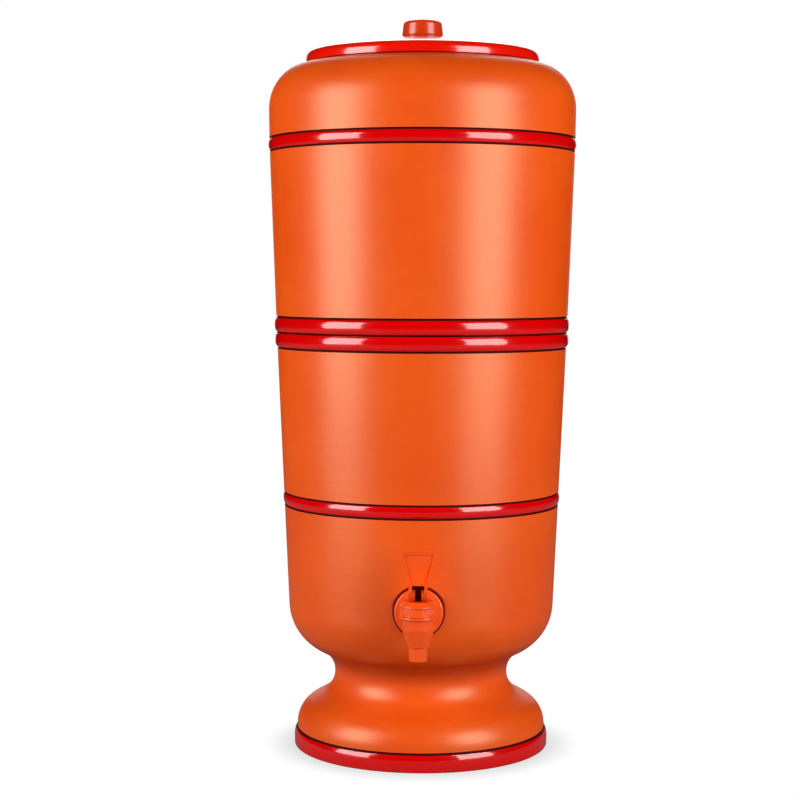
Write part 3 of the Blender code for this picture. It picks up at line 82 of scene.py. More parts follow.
# Lower reservoir
FLOOR_THICKNESS = 0.012
LIP_ROUND = 0.0015
BASE_BAND_HEIGHT = 0.0147
BASE_BAND_EDGE_RADIUS = 0.1062
BASE_RADIUS = 0.1076
BASE_BULGE_HEIGHT = 0.0072
BASE_BULGE = 0.0030
BASE_BULGE_RISE = 0.0082
BASE_BULGE_START = 62  # degrees up from level
BASE_GROUND_RADIUS = 0.1074
BASE_GROUND_ROUND = 0.0014
BASE_INNER_RADIUS = 0.0965
FOOT_RADIUS = 0.1054
FOOT_HEIGHT = 0.0320
FOOT_ROUND = 0.0240
NECK_RADIUS = 0.0731
NECK_FOOT_HEIGHT = 0.0501
NECK_FOOT_ROUND = 0.0200
NECK_TOP_HEIGHT = 0.0756
NECK_TOP_ROUND = 0.0210
BOWL_RADIUS = 0.1108
BOWL_HEIGHT = 0.0936
BOWL_ROUND = 0.0440
BOWL_FLOOR_HEIGHT = 0.0900
BOWL_FLOOR_ROUND = 0.0220
LOW_BAND_HEIGHT = 0.2109
LOW_BAND_WIDTH = 0.0100
LOW_BAND_PROUD = 0.0008

# Seam and upper reservoir
SEAM_HEIGHT = 0.3505
SEAM_RADIUS = 0.1222
SEAM_BAND_WIDTH = 0.0124
SEAM_BAND_PROUD = 0.0019
SPIGOT_HEIGHT = 0.0122
SPIGOT_CLEARANCE = 0.0008
TOP_BAND_HEIGHT = 0.5062
TOP_BAND_WIDTH = 0.0102
TOP_BAND_RADIUS = 0.1280
TOP_BAND_PROUD = 0.0012
SHOULDER_RADIUS = 0.1284
SHOULDER_HEIGHT = 0.5360
SHOULDER_DEPTH = 0.0324
SHOULDER_RISE = 0.0369
UPPER_FLOOR_ROUND = 0.0140
MOUTH_RADIUS = 0.0860
GROOVE_WIDTH = 0.0012  # the groove along each band's edges, coloured with painted shade
GROOVE_DEPTH = 0.0012
GROOVE_FLOOR = GROOVE_WIDTH / 3  # from the band's edge to its deepest place
BAND_FULLNESS = 0.9  # under 1 makes a band's section fuller
PAINTED_SHARE = 0.92  # of a band's width that gets the red paint, between its lines of painted shade

# Cover, knob and screw
LID_RADIUS = 0.0977
LID_RIM_HEIGHT = 0.0098
LID_RIM_BULGE = 0.0036
LID_RIM_MIDDLE = 0.0032  # where its rim is widest, over its foot
LID_RIM_ARC = (80, -21)  # degrees up from level, from the dome to the foot
LID_DOME_RADIUS = 0.0560
LID_CROWN_SHARE = 0.58
LID_RISE = 0.0130
LID_SEAT_RADIUS = 0.0925
LID_WALL = 0.0026
LID_SKIRT_CLEARANCE = 0.0015
LID_SKIRT_DEPTH = 0.0100
LID_FOOT_ROUND = 0.0006
KNOB_SEAT_RADIUS = 0.0185
KNOB_RADIUS = 0.0171
KNOB_DRAFT = 0.0009
KNOB_BASE_CHAMFER = 0.0006
KNOB_BASE_HEIGHT = 0.0020
KNOB_HEIGHT = 0.0134
KNOB_ROUND = 0.0034
KNOB_ROUND_START = 84  # degrees up from level
KNOB_CROWN = 0.0002
SCREW_RADIUS = 0.0020
SCREW_HEAD_RADIUS = 0.0048
SCREW_HEAD_HEIGHT = 0.0026
SCREW_HEAD_ROUND = 0.8 * SCREW_HEAD_HEIGHT
SCREW_BITE = 0.0085
SCREW_SLOT_LENGTH = 2 * SCREW_HEAD_RADIUS * 0.72
SCREW_SLOT_WIDTH = 0.0011
SCREW_SLOT_DEPTH = 0.0014

# Tap: where it passes through the clay
TAP_HEIGHT = 0.1315
SHANK_RADIUS = 0.0095
SHANK_CLEARANCE = 0.0010
SHANK_PROTRUSION = 0.0030
THREAD_PITCH = 0.0018
THREAD_DEPTH = 0.0009
TOOTH_FOOT = 0.15  # shares of the pitch where a tooth begins and where it is full
TOOTH_CREST = 0.44
GASKET_THICKNESS = 0.0022
GASKET_ROUND = 0.0007
OUTER_GASKET_RADIUS = 0.0210
INNER_GASKET_RADIUS = 0.0170
SPOT_FACE_MARGIN = 0.0006
FLANGE_RADIUS = 0.0195
FLANGE_THICKNESS = 0.0030
FLANGE_ROUND = 0.0012
NUT_FLATS = 0.0300
NUT_SIDES = 6
NUT_THICKNESS = 0.0080
NUT_CHAMFER = 0.0012

# Tap: body
INLET_RADIUS = 0.0035
INLET_DROP = 0.0025
BRANCH_WIDTH = 0.0170
BRANCH_HEIGHT = 0.0105
BRANCH_ROUND = 0.0040
COLLAR_RADIUS = 0.0149
COLLAR_HEIGHT = 0.0021
COLLAR_RISE = 0.0008
COLLAR_ROUND = 0.0006
BARREL_RADIUS = 0.01275
BARREL_HEIGHT = 0.0083
BARREL_ROUND = 0.0060
CONE_HEIGHT = 0.0138
CONE_END_RADIUS = 0.0087
CONE_END_ROUND = 0.0005
NOZZLE_RADIUS = 0.00735
NOZZLE_HEIGHT = 0.0117
NOZZLE_TAPER = 0.0002
NOZZLE_STEP = 0.0008
NOZZLE_ROUND = 0.0009
NOZZLE_BORE_RADIUS = 0.0046
NECK_THREAD_RADIUS = 0.0116
NECK_THREAD_HEIGHT = 0.0091
CHAMBER_RADIUS = 0.0085
CHAMBER_DEPTH = 0.0235

# Tap: cap over the neck
BONNET_RADIUS = 0.01475
BONNET_WAIST_RADIUS = 0.0138
BONNET_BEAD_HEIGHT = 0.0016
BONNET_HEIGHT = 0.0113
BONNET_TOP_RADIUS = 0.0118
BONNET_SHOULDER_HEIGHT = 0.0035
BONNET_TOP_ROUND = 0.0008
BONNET_RIB_DEPTH = 0.00025

# Tap: stem, seal and return spring
SEAL_RADIUS = 0.0065
SEAL_HEIGHT = 0.0052
SEAL_SOCKET_DEPTH = 0.0034
SEAL_ROUND = 0.0008
STEM_FOOT_RADIUS = 0.0027
STEM_RADIUS = 0.0024
STEM_COLLAR_THICKNESS = 0.0016
BLADE_WIDTH = 0.0050
BLADE_THICKNESS = 0.0033
STEM_HEAD_WIDTH = 0.0091
PIVOT_RADIUS = 0.0012
PIVOT_WIDTH = 0.0126
PIVOT_RISE = 0.00985
STEM_LIFT = 0.0036
SPRING_RADIUS = 0.0052
SPRING_WIRE_RADIUS = 0.00045
SPRING_TURNS = 4
SPRING_STEPS = 40
SPRING_WIRE_SIDES = 10

# Tap: lever
LEVER_SWING = math.radians(75)
LEVER_FOOT_WIDTH = 0.0147
LEVER_TOP_WIDTH = 0.0280
LEVER_PADDLE_HEIGHT = 0.0253
LEVER_PADDLE_THICKNESS = 0.0036
LEVER_ROOT_HEIGHT = 0.0036
LEVER_BROW_HEIGHT = 0.0030
LEVER_RIM_WIDTH = 0.0012
LEVER_SILL_WIDTH = 0.0008
LEVER_RECESS_DEPTH = 0.0012
LEVER_BACK = 0.0022
LEVER_NOSE_ROUND = 0.0010
LEVER_CORNER_ROUND = 0.0016
LEVER_EDGE = 0.00026
CAM_STEPS = 28

# Candles
CANDLE_SPACING = 0.0920
CANDLE_RADIUS = 0.0285
CANDLE_HEIGHT = 0.1120
CANDLE_WALL = 0.0080
CANDLE_DOME_HEIGHT = 0.0240
CUP_RADIUS = 0.0310
CUP_FLOOR = 0.0050
CUP_RIM = 0.0110
CUP_ROUND = 0.0008
CUP_GRIPS = 24
CUP_GRIP_DEPTH = 0.0005
STEM_TUBE_RADIUS = 0.0052
STEM_TUBE_BORE = 0.0019
STEM_HOLE_CLEARANCE = 0.0008
CANDLE_GASKET_RADIUS = 0.0150
CANDLE_GASKET_THICKNESS = 0.0025
WING_NUT_RADIUS = 0.0090
WING_NUT_HEIGHT = 0.0085
WING_SPAN = 0.0340
WING_THICKNESS = 0.0028
WING_MARGIN = 0.0016
WING_ROUND = 0.0018
MOULDED_EDGE = 0.0004

# Float valves
VALVE_RADIUS = 0.0080
VALVE_HEIGHT = 0.0200
VALVE_SOCKET_DEPTH = 0.0085
VALVE_BORE_RADIUS = 0.0018
NIPPLE_RADIUS = 0.0034
NIPPLE_HEIGHT = 0.0020
HINGE_OFFSET = 0.0125
HINGE_DROP = 0.0032
PIN_RADIUS = 0.0012
PIN_LENGTH = 0.0112
LUG_WALL = 0.0020
LUG_RADIUS = 0.0034
LUG_RISE = 0.0068
LUG_FOOT_RISE = 0.0010
LUG_INNER = 0.75 * VALVE_RADIUS  # how near the valve's axis it reaches
ARM_WIDTH = 0.0056
ARM_BAR_WIDTH = 0.0050
ARM_HEIGHT = 0.0040
ARM_TAIL = 0.0045
ARM_EYE_RADIUS = 0.0060
ARM_REACH = 0.0480
PAD_RADIUS = 0.0034
PAD_THICKNESS = 0.0026
PAD_SINK = 0.0014
FLOAT_RADIUS = 0.0170
FLOAT_HEIGHT = 0.0270
FLOAT_WALL = 0.0014
FLOAT_ROUND = 0.0040
STUD_RADIUS = 0.0026
STUD_HEAD_RADIUS = 0.0038
STUD_HEAD_HEIGHT = 0.0016
FLOAT_DROP = math.radians(28)

# Stage
STAGE_SIDES = 96
FLOOR_RADIUS = 6
FLOOR_FADE = 1.2  # the length that the floor's fade is measured in
CREASE_SPAN = 0.2  # the height that the painted shade under the bowl is measured in
CURTAIN_RADIUS = 3.2
CURTAIN_HEIGHT = 3.3
CURTAIN_OPENING_HEIGHT = 1.9
CURTAIN_OPENING_START = 3.04
LAMP_REACH = 1.5
LAMP_AIM_HEIGHT = 0.55
FRONT_LAMP = (0.66, (0.9, 1.2))  # height above the ground, then size
BACK_LAMP = (1.5, (0.9, 0.9))
CAMERA_SIDE = math.radians(0.85)
CAMERA_TILT = math.radians(3.819)
CAMERA_ROLL = math.radians(-0.13)
CAMERA_PAN = math.radians(0.666)
SENSOR_WIDTH = 36

# Heights that follow from the sizes
UPPER_BOTTOM = SEAM_HEIGHT + GAP
SPIGOT_BOTTOM = UPPER_BOTTOM - SPIGOT_HEIGHT
UPPER_FLOOR = SPIGOT_BOTTOM + FLOOR_THICKNESS
LOWER_SEAM_BAND = SEAM_HEIGHT - SEAM_BAND_WIDTH / 2
UPPER_SEAM_BAND = UPPER_BOTTOM + SEAM_BAND_WIDTH / 2
SHOULDER_TOP = SHOULDER_HEIGHT + SHOULDER_RISE
LID_BOTTOM = SHOULDER_TOP + GAP
LID_RIM_TOP = LID_BOTTOM + LID_RIM_HEIGHT
KNOB_SEAT = LID_RIM_TOP + LID_RISE
INLET_HEIGHT = TAP_HEIGHT - INLET_DROP
COLLAR_BOTTOM = TAP_HEIGHT + COLLAR_RISE
COLLAR_TOP = COLLAR_BOTTOM + COLLAR_HEIGHT
BARREL_BOTTOM = COLLAR_BOTTOM - BARREL_HEIGHT
CONE_BOTTOM = BARREL_BOTTOM - CONE_HEIGHT
NOZZLE_BOTTOM = CONE_BOTTOM - NOZZLE_HEIGHT
THREAD_TOP = COLLAR_TOP + NECK_THREAD_HEIGHT
CHAMBER_FLOOR = THREAD_TOP - CHAMBER_DEPTH
BONNET_BOTTOM = COLLAR_TOP + GAP
BONNET_TOP = BONNET_BOTTOM + BONNET_HEIGHT
BONNET_CEILING = THREAD_TOP + GAP
PIVOT_HEIGHT = BONNET_TOP + PIVOT_RISE
SEAL_BOTTOM = CHAMBER_FLOOR + GAP
SEAL_TOP = SEAL_BOTTOM + SEAL_HEIGHT
SEAL_SOCKET_FLOOR = SEAL_TOP - SEAL_SOCKET_DEPTH
STEM_COLLAR_BOTTOM = SEAL_TOP + GAP
STEM_COLLAR_TOP = STEM_COLLAR_BOTTOM + STEM_COLLAR_THICKNESS
BLADE_BOTTOM = BONNET_CEILING - STEM_LIFT - GAP
HEAD_RADIUS = BLADE_THICKNESS / 2
HEAD_ROOM = HEAD_RADIUS + 2 * GAP
CANDLE_GASKET_BOTTOM = UPPER_FLOOR + GAP
CUP_BOTTOM = CANDLE_GASKET_BOTTOM + CANDLE_GASKET_THICKNESS + GAP
CANDLE_BOTTOM = CUP_BOTTOM + CUP_FLOOR + GAP
WING_NUT_TOP = SPIGOT_BOTTOM - GAP
WING_NUT_BOTTOM = WING_NUT_TOP - WING_NUT_HEIGHT
VALVE_TOP = WING_NUT_BOTTOM - GAP
VALVE_SOCKET_FLOOR = VALVE_TOP - VALVE_SOCKET_DEPTH
STEM_TUBE_BOTTOM = VALVE_SOCKET_FLOOR + GAP
VALVE_BOTTOM = VALVE_TOP - VALVE_HEIGHT
NIPPLE_BOTTOM = VALVE_BOTTOM - NIPPLE_HEIGHT
HINGE_HEIGHT = NIPPLE_BOTTOM - HINGE_DROP
ARM_TOP = HINGE_DROP - GAP - (PAD_THICKNESS - PAD_SINK)
ARM_BOTTOM = ARM_TOP - ARM_HEIGHT
TAIL_STOP = ARM_TOP * math.cos(FLOAT_DROP) + ARM_TAIL * math.sin(FLOAT_DROP) + GAP
ARM_END = HINGE_OFFSET + ARM_REACH

# Turns that lay a piece's own axes along the vessel's
UPRIGHT = (0, 0, 0)
OUTWARD = (QUARTER, 0, 0)  # its Z runs out through the tap, to -Y
ACROSS = (0, QUARTER, 0)  # its Z runs along X
ALONG = (-QUARTER, 0, 0)  # its Z runs along +Y
FRONT_VIEW = (QUARTER, 0, 0)
SIDE_VIEW = (QUARTER, 0, QUARTER)


def srgb(red, green, blue):
    """Linear colour from 0 to 255 values."""
    linear = []
    for value in (red, green, blue):
        share = value / 255
        linear.append(share / 12.92 if share <= 0.04045 else ((share + 0.055) / 1.055) ** 2.4)
    return (*linear, 1.0)


# Settings


def length_setting(name, description, default):
    return bpy.props.FloatProperty(
        name=name, description=description, default=default, min=0, precision=5, unit="LENGTH"
    )


def colour_setting(name, description, default):
    return bpy.props.FloatVectorProperty(
        name=name, description=description, default=default, size=4, min=0, max=1, subtype="COLOR"
    )


class FilterVesselSettings(bpy.types.PropertyGroup):
    """Sizes and colours of the clay reservoirs and their cover."""

    clay_wall: length_setting("Clay wall", "Thickness of the clay", 0.009)
    clay: colour_setting("Clay", "Colour of the fired clay", srgb(236, 88, 12))
    clay_dark: colour_setting("Clay shade", "Darker tone in the clay", srgb(227, 76, 7))
    paint: colour_setting("Band paint", "Gloss paint on the raised bands", srgb(217, 2, 3))
    # Painted shade: a near-black red for the grooves along the bands, standing in for their
    # shadow.
    line: colour_setting("Band line", "Colour of the fine lines by the bands", srgb(58, 4, 2))
    cover: colour_setting("Cover", "Colour of the cover", srgb(232, 20, 2))


class FilterTapSettings(bpy.types.PropertyGroup):
    """Sizes and colours of the tap."""

    ribs: bpy.props.IntProperty(
        name="Grip ribs", description="Fine upright ribs around the cap", default=36, min=3
    )
    plastic: colour_setting("Tap plastic", "Colour of the tap", srgb(252, 86, 14))
    knob: colour_setting("Knob", "Colour of the cover's knob", srgb(222, 58, 10))
    rubber: colour_setting("Washers", "Colour of the washers", srgb(108, 3, 1))
    stem: colour_setting("Stem", "Colour of the stem", srgb(64, 6, 4))


class FilterCandleSettings(bpy.types.PropertyGroup):
    """Sizes and colours of the candles and the float valves."""

    spacing: length_setting("Candle spacing", "Between the candles' axes", CANDLE_SPACING)
    ceramic: colour_setting("Candle", "Colour of the porous ceramic", srgb(240, 236, 226))
    plastic: colour_setting("Fittings", "Colour of the white fittings", srgb(233, 231, 224))


class FilterStageSettings(bpy.types.PropertyGroup):
    """Camera and light."""

    camera_distance: length_setting("Camera distance", "From the vessel's axis", 1.5902)
    camera_height: length_setting("Camera height", "Above the ground", 0.3988)
    lens: bpy.props.FloatProperty(
        name="Lens", description="Focal length", default=84.67, min=1, unit="CAMERA"
    )
    lamp_power: bpy.props.FloatProperty(
        name="Soft box", description="Power of each soft box", default=24.5, min=0, unit="POWER"
    )
    fill: bpy.props.FloatProperty(
        name="Fill", description="Strength of the even light from all round", default=0.06, min=0
    )


# Materials


class Value:
    """A shader socket that can be used in Python sums."""

    def __init__(self, recipe, socket):
        self.recipe = recipe
        self.socket = socket

    def sum(self, operation, first, second):
        return self.recipe.node("ShaderNodeMath", {"operation": operation}, {0: first, 1: second})

    def __add__(self, other):
        return self.sum("ADD", self, other)

    def __radd__(self, other):
        return self.sum("ADD", other, self)

    def __sub__(self, other):
        return self.sum("SUBTRACT", self, other)

    def __rsub__(self, other):
        return self.sum("SUBTRACT", other, self)

    def __mul__(self, other):
        return self.sum("MULTIPLY", self, other)

    def __rmul__(self, other):
        return self.sum("MULTIPLY", other, self)

    def __truediv__(self, other):
        return self.sum("DIVIDE", self, other)


class Nodes:
    """A node tree that is written as Python."""

    def __init__(self, tree):
        self.tree = tree

    def node(self, kind, settings, sockets, output=0):
        """Adds a node; its settings are set before its sockets."""
        node = self.tree.nodes.new(kind)
        for name, value in settings.items():
            if name == "stops":
                self.set_stops(node.color_ramp, value)
            else:
                setattr(node, name, value)
        for name, value in sockets.items():
            if isinstance(value, Value):
                self.tree.links.new(value.socket, node.inputs[name])
            else:
                node.inputs[name].default_value = value
        return Value(self, node.outputs[output])

    def set_stops(self, ramp, stops):
        while len(ramp.elements) < len(stops):
            ramp.elements.new(1.0)
        for element, (position, shade) in zip(ramp.elements, stops):
            element.position = position
            element.color = (shade, shade, shade, 1.0)


class Recipe(Nodes):
    """A material on the usual surface shader."""

    def __init__(self, name, **constants):
        self.material = bpy.data.materials.new(name)
        self.material.use_nodes = True
        super().__init__(self.material.node_tree)
        self.shader = self.tree.nodes["Principled BSDF"]
        for socket, value in constants.items():
            self.shader.inputs[socket.replace("_", " ")].default_value = value

    def place(self, scale=(1, 1, 1)):
        """The piece's own coordinates, centred on the vessel's axis."""
        coordinates = self.node("ShaderNodeTexCoord", {}, {}, "Object")
        sockets = {"Vector": coordinates, "Location": (0, -AXIS_Y * scale[1], 0), "Scale": scale}
        return self.node("ShaderNodeMapping", {}, sockets)

    def noise(self, scale, detail=2.0, roughness=0.5, stretch=(1, 1, 1)):
        sockets = {"Vector": self.place(stretch), "Scale": scale}
        sockets |= {"Detail": detail, "Roughness": roughness}
        return self.node("ShaderNodeTexNoise", {}, sockets, "Fac")

    def cells(self, scale):
        sockets = {"Vector": self.place(), "Scale": scale}
        return self.node("ShaderNodeTexVoronoi", {}, sockets, "Distance")

    def ramp(self, value, stops):
        return self.node("ShaderNodeValToRGB", {"stops": stops}, {"Fac": value})

    def blend(self, factor, first, second):
        sockets = {0: factor, 6: first, 7: second}
        return self.node("ShaderNodeMix", {"data_type": "RGBA"}, sockets, 2)

    def bump(self, height, distance, strength=1.0, normal=None):
        sockets = {"Height": height, "Distance": distance, "Strength": strength}
        if normal:
            sockets["Normal"] = normal
        return self.node("ShaderNodeBump", {}, sockets)

    def feed(self, socket, value):
        self.tree.links.new(value.socket, self.shader.inputs[socket])

    def made(self, colour, roughness, normal):
        """Feeds the sockets that every finish has, and gives the material."""
        self.feed("Base Color", colour)
        self.feed("Roughness", roughness)
        self.feed("Normal", normal)
        return self.material


def shade(colour, share):
    """A colour made darker or lighter."""
    return (*(min(1.0, channel * share) for channel in colour[:3]), 1.0)


def fired_clay(settings):
    """Matt clay: cloudy tone, fine grain, faint marks of the turning, painted shade under the
    bowl.
    """
    warm = (1.0, 0.84, 0.56, 1.0)
    recipe = Recipe("fired_clay", Specular_IOR_Level=0.76, Specular_Tint=warm)
    cloud = recipe.noise(11.0, 4.0, 0.6)
    lines = recipe.noise(1.0, 3.0, 0.6, (9.0, 9.0, 420.0))
    grain = recipe.noise(1500.0, 3.0, 0.6)
    specks = recipe.ramp(recipe.cells(420.0), [(0.05, 1.0), (0.16, 0.0)])
    tone = recipe.ramp(cloud * 0.65 + lines * 0.2 + grain * 0.15, [(0.36, 0.0), (0.64, 1.0)])
    colour = recipe.blend(tone, tuple(settings.clay_dark), tuple(settings.clay))
    dust = specks * recipe.ramp(cloud, [(0.45, 0.0), (0.6, 0.5)])
    colour = recipe.blend(dust, colour, srgb(206, 74, 26))
    # Painted shade: a darker colour on the clay where the bowl meets the neck, standing in for the
    # shadow there.
    height = recipe.node("ShaderNodeSeparateXYZ", {}, {"Vector": recipe.place()}, "Z")
    stops = [(0.31, 0.0), (0.37, 1.0), (0.41, 1.0), (0.47, 0.0)]
    painted_shade = recipe.ramp(height / CREASE_SPAN, stops)
    colour = recipe.blend(painted_shade * 0.6, colour, srgb(140, 30, 1))
    surface = recipe.bump(lines, 0.00035, 0.25)
    surface = recipe.bump(grain - specks * 0.5, 0.00014, 0.5, surface)
    return recipe.made(colour, 0.29 + grain * 0.08 + cloud * 0.05, surface)


def gloss_paint(settings):
    """Thick red gloss paint with a slightly uneven skin."""
    recipe = Recipe("gloss_paint", Specular_IOR_Level=0.5, Coat_Roughness=0.05)
    skin = recipe.noise(150.0, 2.0, 0.5)
    cloud = recipe.noise(14.0, 3.0, 0.5)
    colour = recipe.blend(cloud, shade(settings.paint, 0.92), tuple(settings.paint))
    recipe.feed("Coat Weight", 0.35 + cloud * 0.15)
    return recipe.made(colour, 0.1 + cloud * 0.05, recipe.bump(skin, 0.0004, 0.12))


def cover_plastic(settings):
    """Glossy red moulded plastic."""
    recipe = Recipe("cover_plastic", Specular_IOR_Level=0.65, Coat_Roughness=0.04)
    skin = recipe.noise(90.0, 2.0, 0.5)
    marks = recipe.noise(1.0, 4.0, 0.6, (30.0, 260.0, 30.0))
    scuff = recipe.ramp(marks, [(0.58, 0.0), (0.75, 1.0)])
    colour = recipe.blend(skin, shade(settings.cover, 0.92), tuple(settings.cover))
    recipe.feed("Coat Weight", 0.35 + skin * 0.15)
    return recipe.made(colour, 0.16 + scuff * 0.06, recipe.bump(skin, 0.0003, 0.08))


def moulded_plastic(name, plastic):
    """Semi-gloss orange moulded plastic with a fine tool texture."""
    recipe = Recipe(name, Specular_IOR_Level=0.65)
    flow = recipe.noise(55.0, 3.0, 0.55)
    grain = recipe.noise(2600.0, 2.0, 0.5)
    colour = recipe.blend(flow, shade(plastic, 0.88), tuple(plastic))
    surface = recipe.bump(grain, 0.00004, 0.25, recipe.bump(flow, 0.0004, 0.1))
    return recipe.made(colour, 0.21 + flow * 0.08, surface)


# A dark matt finish, for the rubber parts and for the painted shade along the bands.
def dark_rubber(name, tint):
    recipe = Recipe(name, Specular_IOR_Level=0.12)
    bloom = recipe.noise(160.0, 4.0, 0.6)
    colour = recipe.blend(bloom, tuple(tint), shade(tint, 1.5))
    surface = recipe.bump(recipe.noise(1800.0), 0.00006, 0.3)
    return recipe.made(colour, 0.5 + bloom * 0.2, surface)


def clear_silicone():
    recipe = Recipe("clear_silicone", Subsurface_Weight=0.25, Subsurface_Scale=0.002)
    haze = recipe.noise(240.0, 3.0, 0.5)
    colour = recipe.blend(haze, srgb(222, 218, 206), srgb(236, 233, 224))
    return recipe.made(colour, 0.34 + haze * 0.14, recipe.bump(haze, 0.0001, 0.2))


def white_plastic(settings):
    recipe = Recipe("white_plastic")
    flow = recipe.noise(70.0, 3.0, 0.5)
    grain = recipe.noise(2200.0)
    colour = recipe.blend(flow, shade(settings.plastic, 0.93), tuple(settings.plastic))
    return recipe.made(colour, 0.3 + flow * 0.12, recipe.bump(grain, 0.00004, 0.25))


def drawn_steel():
    recipe = Recipe("drawn_steel", Metallic=1.0)
    draw = recipe.noise(1.0, 3.0, 0.6, (2600.0, 2600.0, 160.0))
    colour = recipe.blend(draw, srgb(168, 168, 172), srgb(206, 206, 208))
    return recipe.made(colour, 0.2 + draw * 0.16, recipe.bump(draw, 0.00003, 0.2))


def candle_ceramic(settings):
    """Porous white ceramic, chalky with faint cream patches."""
    recipe = Recipe("candle_ceramic_paint", IOR=1.4)
    cloud = recipe.noise(28.0, 5.0, 0.6)
    pores = recipe.ramp(recipe.cells(900.0), [(0.05, 0.0), (0.22, 1.0)])
    cream = recipe.ramp(cloud, [(0.4, 0.0), (0.72, 1.0)])
    pale = recipe.blend(cream, tuple(settings.ceramic), srgb(229, 220, 200))
    colour = recipe.blend(pores, srgb(212, 204, 190), pale)
    surface = recipe.bump(pores + recipe.noise(700.0) * 0.6, 0.00016, 0.45)
    return recipe.made(colour, 0.78 + cloud * 0.14, surface)


def carbon_grains():
    recipe = Recipe("carbon_grains")
    grains = recipe.cells(520.0)
    tone = recipe.ramp(grains, [(0.1, 0.1), (0.7, 0.9)])
    colour = recipe.blend(tone, srgb(14, 14, 15), srgb(54, 53, 54))
    return recipe.made(colour, 0.6 + grains * 0.3, recipe.bump(grains, 0.0012, 0.9))


FINISHES = {}


def finish(name, recipe, *settings):
    """Each finish is made once and shared by the pieces that have it."""
    if name not in FINISHES:
        FINISHES[name] = recipe(*settings)
    return FINISHES[name]


def tap_plastic(settings):
    return finish("tap", moulded_plastic, "tap_plastic", settings.plastic)


# Outlines: points are (radius, height) or (across, up)


def ellipse(centre, radii, start, end, steps=CURVE_STEPS):
    """Points on an elliptical arc between two angles in degrees."""
    points = []
    for step in range(steps + 1):
        angle = math.radians(start + (end - start) * step / steps)
        across = centre[0] + radii[0] * math.cos(angle)
        points.append((across, centre[1] + radii[1] * math.sin(angle)))
    return points


def arc(centre, radius, start, end, steps=CURVE_STEPS):
    return ellipse(centre, (radius, radius), start, end, steps)


def rounded_corner(before, corner, after, rounding, steps):
    here = Vector(corner)
    back = (Vector(before) - here).normalized()
    ahead = (Vector(after) - here).normalized()
    half = back.angle(ahead) / 2
    centre = here + (back + ahead).normalized() * (rounding / math.sin(half))
    first = here + back * (rounding / math.tan(half)) - centre
    last = here + ahead * (rounding / math.tan(half)) - centre
    start = math.degrees(math.atan2(first.y, first.x))
    turn = math.degrees(first.angle_signed(last))
    return arc(centre, rounding, start, start - turn, steps)


def rounded(corners, steps=EDGE_STEPS):
    """An open outline through corners (x, y, rounding), its ends left as they are."""
    points = [corners[0][:2]]
    for before, corner, after in zip(corners, corners[1:], corners[2:]):
        if corner[2]:
            points += rounded_corner(before[:2], corner[:2], after[:2], corner[2], steps)
        else:
            points.append(corner[:2])
    points.append(corners[-1][:2])
    return points


def rounded_loop(corners, steps=EDGE_STEPS):
    """A closed outline through corners (x, y, rounding)."""
    return rounded([corners[-1], *corners, corners[0]], steps)[1:-1]


def rectangle(width, height, rounding=0):
    across, up = width / 2, height / 2
    corners = [(-across, -up), (across, -up), (across, up), (-across, up)]
    return rounded_loop([(*corner, rounding) for corner in corners])


def lower_wall_radius(height):
    share = (height - BOWL_HEIGHT) / (SEAM_HEIGHT - BOWL_HEIGHT)
    return BOWL_RADIUS + share * (SEAM_RADIUS - BOWL_RADIUS)


def upper_wall_radius(height):
    if height < TOP_BAND_HEIGHT:
        share = (height - SEAM_HEIGHT) / (TOP_BAND_HEIGHT - SEAM_HEIGHT)
        return SEAM_RADIUS + share * (TOP_BAND_RADIUS - SEAM_RADIUS)
    share = (height - TOP_BAND_HEIGHT) / (SHOULDER_HEIGHT - TOP_BAND_HEIGHT)
    return TOP_BAND_RADIUS + share * (SHOULDER_RADIUS - TOP_BAND_RADIUS)


def band(middle, width, proud, wall_radius, line_above=True, line_below=True):
    """A raised band from its top edge down, with a fine line along its edges."""
    points = []
    top, bottom = middle + width / 2, middle - width / 2
    if line_above:
        points.append((wall_radius(top + GROOVE_WIDTH), top + GROOVE_WIDTH))
        points.append((wall_radius(top) - GROOVE_DEPTH, top + GROOVE_FLOOR))
    for step in range(BAND_STEPS + 1):
        angle = math.pi * step / BAND_STEPS
        height = middle + width / 2 * math.cos(angle)
        rise = (proud + GROOVE_DEPTH) * math.sin(angle) ** BAND_FULLNESS
        points.append((wall_radius(height) - GROOVE_DEPTH + rise, height))
    if line_below:
        points.append((wall_radius(bottom) - GROOVE_DEPTH, bottom - GROOVE_FLOOR))
        points.append((wall_radius(bottom - GROOVE_WIDTH), bottom - GROOVE_WIDTH))
    return points


# Modelling with Blender's own tools


def select_only(piece):
    bpy.ops.object.select_all(action="DESELECT")
    piece.select_set(True)
    bpy.context.view_layer.objects.active = piece


def edit_all():
    """Enters edit mode with everything picked."""
    bpy.ops.object.mode_set(mode="EDIT")
    bpy.ops.mesh.select_all(action="SELECT")


def modify(piece, kind, **settings):
    """Applies a modifier to the piece that is picked."""
    change = piece.modifiers.new(kind.lower(), kind)
    for name, value in settings.items():
        setattr(change, name, value)
    bpy.ops.object.modifier_apply(modifier=change.name)


def coil(piece, pitch, turns, steps, **settings):
    """Winds an outline about the Z axis."""
    settings |= {"screw_offset": pitch, "iterations": turns}
    modify(piece, "SCREW", steps=steps, render_steps=steps, **settings)


def weld(piece, recalculate=True):
    """Joins doubled points and turns the faces outwards."""
    select_only(piece)
    edit_all()
    bpy.ops.mesh.remove_doubles(threshold=WELD)
    if recalculate:
        bpy.ops.mesh.normals_make_consistent(inside=False)
    bpy.ops.object.mode_set(mode="OBJECT")


